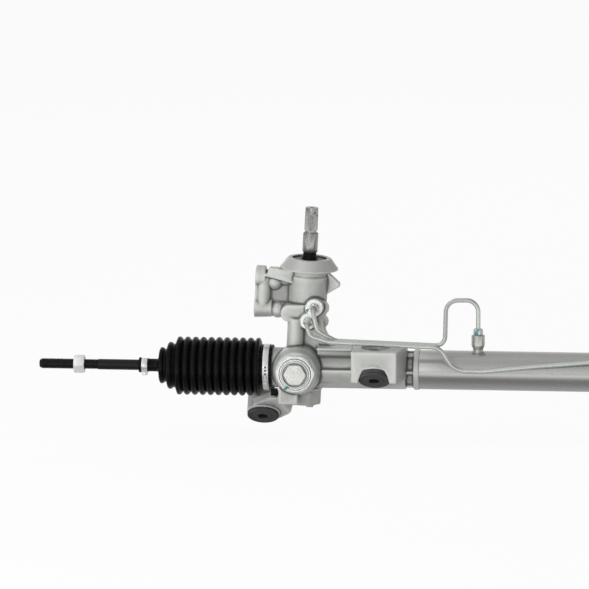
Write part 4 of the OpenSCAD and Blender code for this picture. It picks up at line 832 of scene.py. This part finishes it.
def makePipes():
    upper, lower = (rackPoint(spot) for spot in pipeFittings)
    left = portBosses["left_port_boss"]
    right = portBosses["right_port_boss"]
    down = 48.0 - 10.0
    makePipe("leftPipe", [upper + Vector((0, 10, 0)), upper + Vector((0, -21, 0)), Vector((22, -38, 57)),
                          Vector((46, -32, 43)), Vector((left - loopWidth, -28, 38)),
                          Vector((left - loopWidth, -6, 94.5)), Vector((left, 0, 94.5)), Vector((left, 0, down))],
             [0, 8, 14, 18, 12, 16, 16], "left_cylinder_pipe")
    makePipe("rightPipe", [lower + Vector((0, 10, 0)), lower + Vector((0, -23, 0)), Vector((13, -41, 50)),
                           Vector((38, -40, 42.5)), Vector((left - 49, -37, 37)), besideTube(left - 30, 4.5),
                           besideTube(left + 8, 4.2), besideTube(left + 76, 11.5), besideTube(right - 62, 17.4),
                           besideTube(right - 48, 19), Vector((right - loopWidth, -18, 86)), Vector((right, 0, 86)),
                           Vector((right, 0, down))],
             [0, 8, 12, 20, 16, 28, 60, 60, 60, 12, 16, 16], "right_cylinder_pipe")


def makePipeNuts():
    spots = [onPinion(*spot) @ Matrix.Rotation(math.radians(90), 4, "X") for spot in pipeFittings]
    spots += [upright(x, 0, 48.0) for x in portBosses.values()]
    parts = []
    for i, spot in enumerate(spots):
        lift = spot @ Matrix.Translation((0, 0, 0.0001))
        nut = hexNut(f"pipeNut{i}", pipeNuts["flats"], pipeNuts["height"], pipeNuts["bore"], lift,
                     chamfer=0.7, edge=0.15)
        stem = turned(f"pipeNutStem{i}", [(3.1, -6.9), (5.0, -6.9), (5.25, -6.4), (5.25, -4.6), (4.9, -4.2),
                                          (5.25, -3.8), (5.25, -2.6),
                                          (4.9, -2.2), (5.25, -1.8), (5.25, 0.1), (3.1, 0.1)],
                      lift, steps=48)
        parts += [nut, stem]
    fit(joined("pipeNuts", *parts), "gear", "zinc_plated_steel", "pipe_nuts", material=fittingFinish)


def makePortBosses():
    for nodeName, x in portBosses.items():
        profile = [(5.3, 36.2), (5.3, 47.2), (6.0, 47.95), (8.1, 47.95), (8.85, 47.2), (8.85, 34.2), (8.5, 33.0),
                   (6.8, 29.4), (6.35, 28.2), (6.35, 18.0), (3.1, 18.0), (3.1, 36.2)]
        boss = turned("portBoss", rounded(profile, 0.25, 2), upright(x), steps=64)
        core = turned("tubeCore", [(0, x - 12), (26.02, x - 12), (26.02, x + 12), (0, x + 12)], alongRack(0),
                      closed=False)
        cutWith(boss, core)
        boss.name = "leftPortBoss" if x < 300 else "rightPortBoss"
        weld = turned("brazing", [(6.2, 24.5), (8.0, 24.8), (7.5, 25.6), (6.9, 26.8), (6.7, 28.4), (6.2, 28.6)],
                      upright(x), steps=48)
        fit(joined(boss.name, boss, weld), "gear", "zinc_plated_steel", nodeName, material=bossFinish)


def makeTube():
    start, end, outer, inner = (tube[key] for key in ("start", "end", "outer", "inner"))
    profile = rounded([(inner, start), (outer, start), (outer, start + 40), (outer, start + 120), (outer, start + 200),
                       (outer, end - 60), (outer, end), (inner, end), (inner, start + 160)], 0.5, 2)
    obj = turned("cylinderTube", profile, alongRack(0), steps=128)
    fit(obj, "gear", "drawn_steel_tube", "cylinder_tube", sharp=30)


pipeFinish = finish("pipeZinc", (0.62, 0.65, 0.61), 0.78, 0.27, mottle=(90, 0.03), fine=(2200, 0.01),
                    bump=(2400, 0.06, 0.0001),
                    daubs=[{"at": (6.0, -27, 63.4), "radius": 0.0034, "colour": tealDaub}])
fittingFinish = finish("fittingZinc", (0.60, 0.62, 0.58), 0.8, 0.27, mottle=(150, 0.03), fine=(2400, 0.01),
                       bump=(2600, 0.06, 0.0001),
                       daubs=[{"at": (5.2, -24.4, 63.6), "radius": 0.0032, "colour": tealDaub},
                              {"at": (9.0, -24.6, 63.2), "radius": 0.0028, "colour": tealDaub},
                              {"at": (229.5, -6, 50.5), "radius": 0.0034, "colour": tealDaub},
                              {"at": (231.5, -6, 54.5), "radius": 0.0020, "colour": tealDaub}])
bossFinish = finish("bossZinc", (0.56, 0.57, 0.54), 0.85, 0.26, mottle=(150, 0.04), fine=(2400, 0.01),
                    bump=(2600, 0.06, 0.0001), stretch=(0.3, 0.3, 1))
makeTube()
makePortBosses()
makePipes()
makePipeNuts()
print("cylinder made")


# Mount bushes: rubber with lips and a groove, steel sleeve inside
bushes = {"length": 38.6, "bore": 17.45, "top": 19.0, "flange": 21.2, "sleeve": 9.5, "hole": 6.3}
bushPlaces = {"left": (-57.0, 42.468, -58.297, 4.8), "middle": (98.5, -42.986 + 3.3 * math.sin(boltTilt),
                                                                6.098 + 3.3 * math.cos(boltTilt), 8.4),
              "right": (500.5, -42.986 + 3.3 * math.sin(boltTilt), 6.098 + 3.3 * math.cos(boltTilt), 8.4)}


def makeBushes():
    half = bushes["length"] / 2
    flange, top, bore, sleeve, hole = (bushes[key] for key in ("flange", "top", "bore", "sleeve", "hole"))
    for side, (x, y, z, lip) in bushPlaces.items():
        spot = onBush(x, y, z)
        low = -half + lip
        rubber = rounded([(hole + 0.7, -half + 0.05), (12.2, -half + 0.05), (12.8, -half + 0.9), (15.4, -half + 0.9),
                          (16.2, -half + 0.05), (flange - 1.4, -half + 0.05), (flange - 0.1, -half + 1.2),
                          (flange - 0.1, -half + 2.6), (flange - 1.2, -half + 2.9), (flange - 1.2, -half + 3.5),
                          (flange - 0.1, -half + 3.8), (flange - 0.1, low - 0.05), (bore, low - 0.05),
                          (bore, half - 2.95), (top - 0.05, half - 2.95), (top - 0.05, half - 1.0),
                          (top - 1.2, half - 0.05), (14.8, half - 0.05),
                          (14.2, half - 1.1), (11.8, half - 1.1), (11.2, half - 0.05),
                          (hole + 0.7, half - 0.05), (hole + 0.7, half - 0.95), (sleeve + 0.02, half - 0.95),
                          (sleeve + 0.02, -half + 0.95), (hole + 0.7, -half + 0.95)], 0.45, 2)
        fit(turned(f"{side}Bush", rubber, spot, steps=96), "gear", "black_rubber", f"{side}_mount_bush", sharp=45,
            material=bushFinish)
        steel = rounded([(hole, -half + 1.15), (sleeve - 0.02, -half + 1.15), (sleeve - 0.02, half - 1.15),
                         (hole, half - 1.15)], 0.6, 2)
        fit(turned(f"{side}Sleeve", steel, spot, steps=64), "gear", "machined_steel", f"{side}_bush_sleeve",
            material=sleeveFinish)


bushFinish = finish("bushRubber", (0.058, 0.058, 0.059), 0.0, 0.65, mottle=(90, 0.12), fine=(1600, 0.02),
                    bump=(1900, 0.2, 0.0002), shine=0.06)
sleeveFinish = finish("sleeveSteel", (0.02, 0.02, 0.02), 0.5, 0.45, mottle=(150, 0.1), fine=(2000, 0.02),
                      bump=(2200, 0.1, 0.0002))
makeBushes()
print("bushes made")


# Boots: three stretches each, one after the other from the casting to the tie rod
boots = {"crests": 11, "pitch": 10.5, "first": 14.8, "radius": 38.7, "depth": 5.4, "wall": 1.4, "cuff": 30.0,
         "neck": 8.5, "end": 174.0, "steps": 96}
bootSeams = (114.55, 126.6)


def bootProfile():
    # (distance outwards from the casting's mouth, radius) of the outside
    radius, depth, pitch = boots["radius"], boots["depth"], boots["pitch"]
    path = [(-5.3, boots["cuff"]), (-4.6, boots["cuff"]), (9.0, boots["cuff"]), (10.2, boots["cuff"] + 0.5),
            (10.9, boots["cuff"] + 2.6), (11.6, radius - 3.2), (12.4, radius - 1.8)]
    last = boots["first"] + (boots["crests"] - 1) * pitch
    u = boots["first"] - 1.6
    while u < last + 2.4:
        phase = (u - boots["first"]) / pitch
        fold = abs(2 * (phase - round(phase))) ** 2.3  # round crests, narrow valleys
        path.append((u, radius - depth * fold))
        u += pitch / 14
    path += [(122.6, radius - 2.6), (124.4, radius - 7.2), (125.6, radius - 9.5), (126.6, radius - 10.0),
             (127.8, radius - 9.6), (129.2, radius - 8.4), (130.6, radius - 7.6), (132.1, radius - 7.3),
             (133.6, radius - 7.7), (135.0, radius - 9.2), (136.3, radius - 14.0), (137.2, radius - 16.4),
             (138.2, radius - 17.0), (139.4, radius - 16.6), (140.8, radius - 15.4), (142.2, radius - 14.7),
             (143.6, radius - 14.5), (145.0, radius - 15.0), (146.2, radius - 17.2), (147.0, 15.5), (147.9, 10.6),
             (148.9, 9.0), (150.2, boots["neck"]), (160.6, boots["neck"]), (161.1, boots["neck"] + 0.5),
             (161.9, boots["neck"] + 0.5), (162.3, boots["neck"]), (170.7, boots["neck"]), (170.9, boots["neck"] + 1.4),
             (171.4, boots["neck"] + 1.65), (173.3, boots["neck"] + 1.65), (174.0, boots["neck"] + 1.2)]
    return path


def bootStretch(name, path):
    points = [Vector((radius, 0, u)) / 1000 for u, radius in path]
    obj = drawLine(name, points)
    bpy.ops.mesh.select_all(action="SELECT")
    bpy.ops.mesh.spin(steps=boots["steps"], angle=2 * math.pi, center=(0, 0, 0), axis=(0, 0, 1))
    bpy.ops.mesh.select_all(action="SELECT")
    bpy.ops.mesh.remove_doubles(threshold=0.00001)
    bpy.ops.mesh.normals_make_consistent(inside=False)
    bpy.ops.object.mode_set(mode="OBJECT")
    settle(obj, leftFrame)
    applyModifier(obj, "SOLIDIFY", thickness=boots["wall"] / 1000, offset=-1)
    return obj


def makeNub(name):
    # the square tab below the cuff
    tab = block(name, (-38, -6, -10.7), (-29, 6, -2.0), leftFrame)
    applyModifier(tab, "BEVEL", width=0.001, segments=3)
    return tab


def makeBoots():
    path = bootProfile()
    cutsAt = [min(range(len(path)), key=lambda i: abs(path[i][0] - seam)) for seam in bootSeams]
    stretches = [path[:cutsAt[0] + 1], path[cutsAt[0]:cutsAt[1] + 1], path[cutsAt[1]:]]
    names = ("BootFolds", "BootElbow", "BootNeck")
    for word, stretch in zip(names, stretches):
        left = bootStretch("left" + word, stretch)
        if word == "BootFolds":
            left = joined("leftBootFolds", left, makeNub("cuffTab"))
        right = mirrored(left, "right" + word)
        for side, obj, sign, mouth in (("left", left, -1, -leftMouth), ("right", right, 1, rightMouth)):
            fit(obj, None, "black_rubber", f"{side}_boot", sharp=60)
            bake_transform(obj)


makeBoots()
print("boots made")


# Clamps: a slotted band with a crimped ear, and a small band with two ears
largeClamp = {"inner": 30.05, "sheet": 0.75, "start": -1.0, "end": 6.8, "slots": [263, 271.5, 280], "ear": 235}
smallClamp = {"inner": 8.53, "sheet": 0.75, "start": 162.6, "end": 170.4}


def makeLargeClamp():
    inner, sheet = largeClamp["inner"], largeClamp["sheet"]
    start, end = largeClamp["start"], largeClamp["end"]
    band = turned("clampBand", rounded([(inner, start), (inner + sheet, start), (inner + sheet, end), (inner, end)],
                                       0.3, 2), Matrix.Identity(4), steps=120)
    for angle in largeClamp["slots"]:
        turn = Matrix.Rotation(math.radians(angle), 4, "Z")
        slot = block("slot", (inner - 2, -1.1, start + 2.6), (inner + 3, 1.1, end - 2.6), turn)
        cutWith(band, slot)
    turn = Matrix.Rotation(math.radians(largeClamp["ear"]), 4, "Z")
    ear = block("ear", (inner + 0.3, -5.8, -0.1), (inner + 4.9, 5.8, 5.9), turn, cuts=3)
    useOnly(ear)
    bpy.ops.object.mode_set(mode="EDIT")
    bpy.ops.mesh.select_all(action="DESELECT")
    bpy.ops.object.mode_set(mode="OBJECT")
    back = turn.inverted()
    for vertex in ear.data.vertices:
        local = back @ vertex.co
        vertex.select = abs(local.y) < 0.004 and local.x > (inner + 4.0) / 1000
    bpy.ops.object.mode_set(mode="EDIT")
    bpy.ops.transform.translate(value=turn @ Vector((-0.0014, 0, 0)))
    bpy.ops.mesh.select_all(action="DESELECT")
    bpy.ops.object.mode_set(mode="OBJECT")
    applyModifier(ear, "BEVEL", width=0.0006, segments=3, limit_method="ANGLE", angle_limit=math.radians(40))
    rivet = turned("rivet", [(0, inner + 2.0), (2.0, inner + 2.0), (2.0, inner + 1.2), (1.7, inner + 1.9),
                             (1.0, inner + 2.35), (0, inner + 2.5)][::-1][:5] + [(0, inner + 0.2)],
                   turn @ Matrix.Rotation(math.radians(20), 4, "Z") @ Matrix.Translation((0, 0, 0.0029))
                   @ Matrix.Rotation(math.radians(90), 4, "Y"), steps=24, closed=False)
    left = settle(joined("leftLargeClamp", band, ear, rivet), leftFrame)
    right = mirrored(left, "rightLargeClamp")
    for side, obj in (("left", left), ("right", right)):
        fit(obj, "gear", "zinc_plated_steel", f"{side}_large_clamp", material=clampFinish)


def makeSmallClamp():
    inner, sheet, start, end = (smallClamp[key] for key in ("inner", "sheet", "start", "end"))
    band = turned("smallBand", rounded([(inner, start), (inner + sheet, start), (inner + sheet, end), (inner, end)],
                                       0.25, 2), Matrix.Identity(4), steps=72)
    parts = [band]
    for angle in (171, 189):
        turn = Matrix.Rotation(math.radians(angle), 4, "Z")
        tab = block("tab", (inner + 0.3, -0.9, start + 0.5), (inner + sheet + 4.4, 0.9, end - 0.5), turn)
        applyModifier(tab, "BEVEL", width=0.0004, segments=2)
        parts.append(tab)
    bridge = block("bridge", (inner + 2.2, -1.9, start + 1.4), (inner + 3.0, 1.9, end - 1.4),
                   Matrix.Rotation(math.radians(180), 4, "Z"))
    applyModifier(bridge, "BEVEL", width=0.0002, segments=2)
    parts.append(bridge)
    left = settle(joined("leftSmallClamp", *parts), leftFrame)
    right = mirrored(left, "rightSmallClamp")
    for side, obj in (("left", left), ("right", right)):
        fit(obj, f"{side}_tie_rod", "zinc_plated_steel", f"{side}_small_clamp", material=clampFinish)


clampFinish = finish("clampSteel", (0.74, 0.745, 0.73), 0.75, 0.30, mottle=(150, 0.05), fine=(2200, 0.012),
                     bump=(2400, 0.08, 0.0001))
makeLargeClamp()
makeSmallClamp()
print("clamps made")


# Tie rods: ball, shank, a cut thread, and the jam nut
tieRod = {"ball": 12.5, "reach": 92.0, "neck": 6.0, "shank": 7.0, "threadStart": 229.5, "threadEnd": 306.0,
          "crest": 6.8, "nutCrest": 6.58, "pitch": 1.5, "depth": 0.5, "tip": 307.5}
jamNut = {"flats": 22.0, "start": 247.0, "height": 14.0, "bore": 6.62}


def makeTieRods():
    reach, ball, neck, shank = (tieRod[key] for key in ("reach", "ball", "neck", "shank"))
    blendAngle = math.asin((neck + 0.6) / ball)
    profile = [(0, reach - ball)]
    profile += [(ball * math.sin(a), reach - ball * math.cos(a)) for a in
                [math.radians(10 * k) for k in range(1, 15)] + [math.pi - blendAngle]]
    profile += [(neck + 0.1, reach + ball * math.cos(blendAngle) + 1.0), (neck, reach + 14), (neck, reach + 19),
                (neck + 0.4, reach + 20.6), (shank - 0.15, reach + 22.6), (shank, reach + 23.5),
                (shank, tieRod["threadStart"] - 0.9), (tieRod["nutCrest"] - tieRod["depth"], tieRod["threadStart"])]
    u = tieRod["threadStart"]
    while u < tieRod["threadEnd"] - tieRod["pitch"]:
        crest = tieRod["nutCrest"] if u < 262 else tieRod["crest"]
        root = crest - tieRod["depth"]
        profile += [(root, u + 0.2), (crest, u + 0.54), (crest, u + 0.96), (root, u + 1.3)]
        u += tieRod["pitch"]
    profile += [(5.9, u + 0.3), (5.6, tieRod["tip"] - 1.2), (4.8, tieRod["tip"] - 0.35), (3.6, tieRod["tip"] - 0.05),
                (0, tieRod["tip"])]
    left = turned("leftTieRod", profile, leftFrame, steps=48, closed=False)
    right = mirrored(left, "rightTieRod")
    nutStart = leftFrame @ Matrix.Translation((0, 0, jamNut["start"] / 1000))
    leftNut = hexNut("leftJamNut", jamNut["flats"], jamNut["height"], jamNut["bore"], nutStart, chamfer=0.9, edge=0.3,
                     spin=math.radians(30))
    rightNut = mirrored(leftNut, "rightJamNut")
    for side, rod, nut in (("left", left, leftNut), ("right", right, rightNut)):
        fit(rod, f"{side}_tie_rod", "black_coated_steel", f"{side}_tie_rod", sharp=35)
        fit(nut, f"{side}_tie_rod", "zinc_plated_steel", f"{side}_jam_nut", material=jamFinish)


jamFinish = finish("whiteZinc", (0.74, 0.75, 0.74), 0.5, 0.30, mottle=(150, 0.03), fine=(2400, 0.008),
                   bump=(2600, 0.06, 0.0001))
makeTieRods()
print("tie rods made")
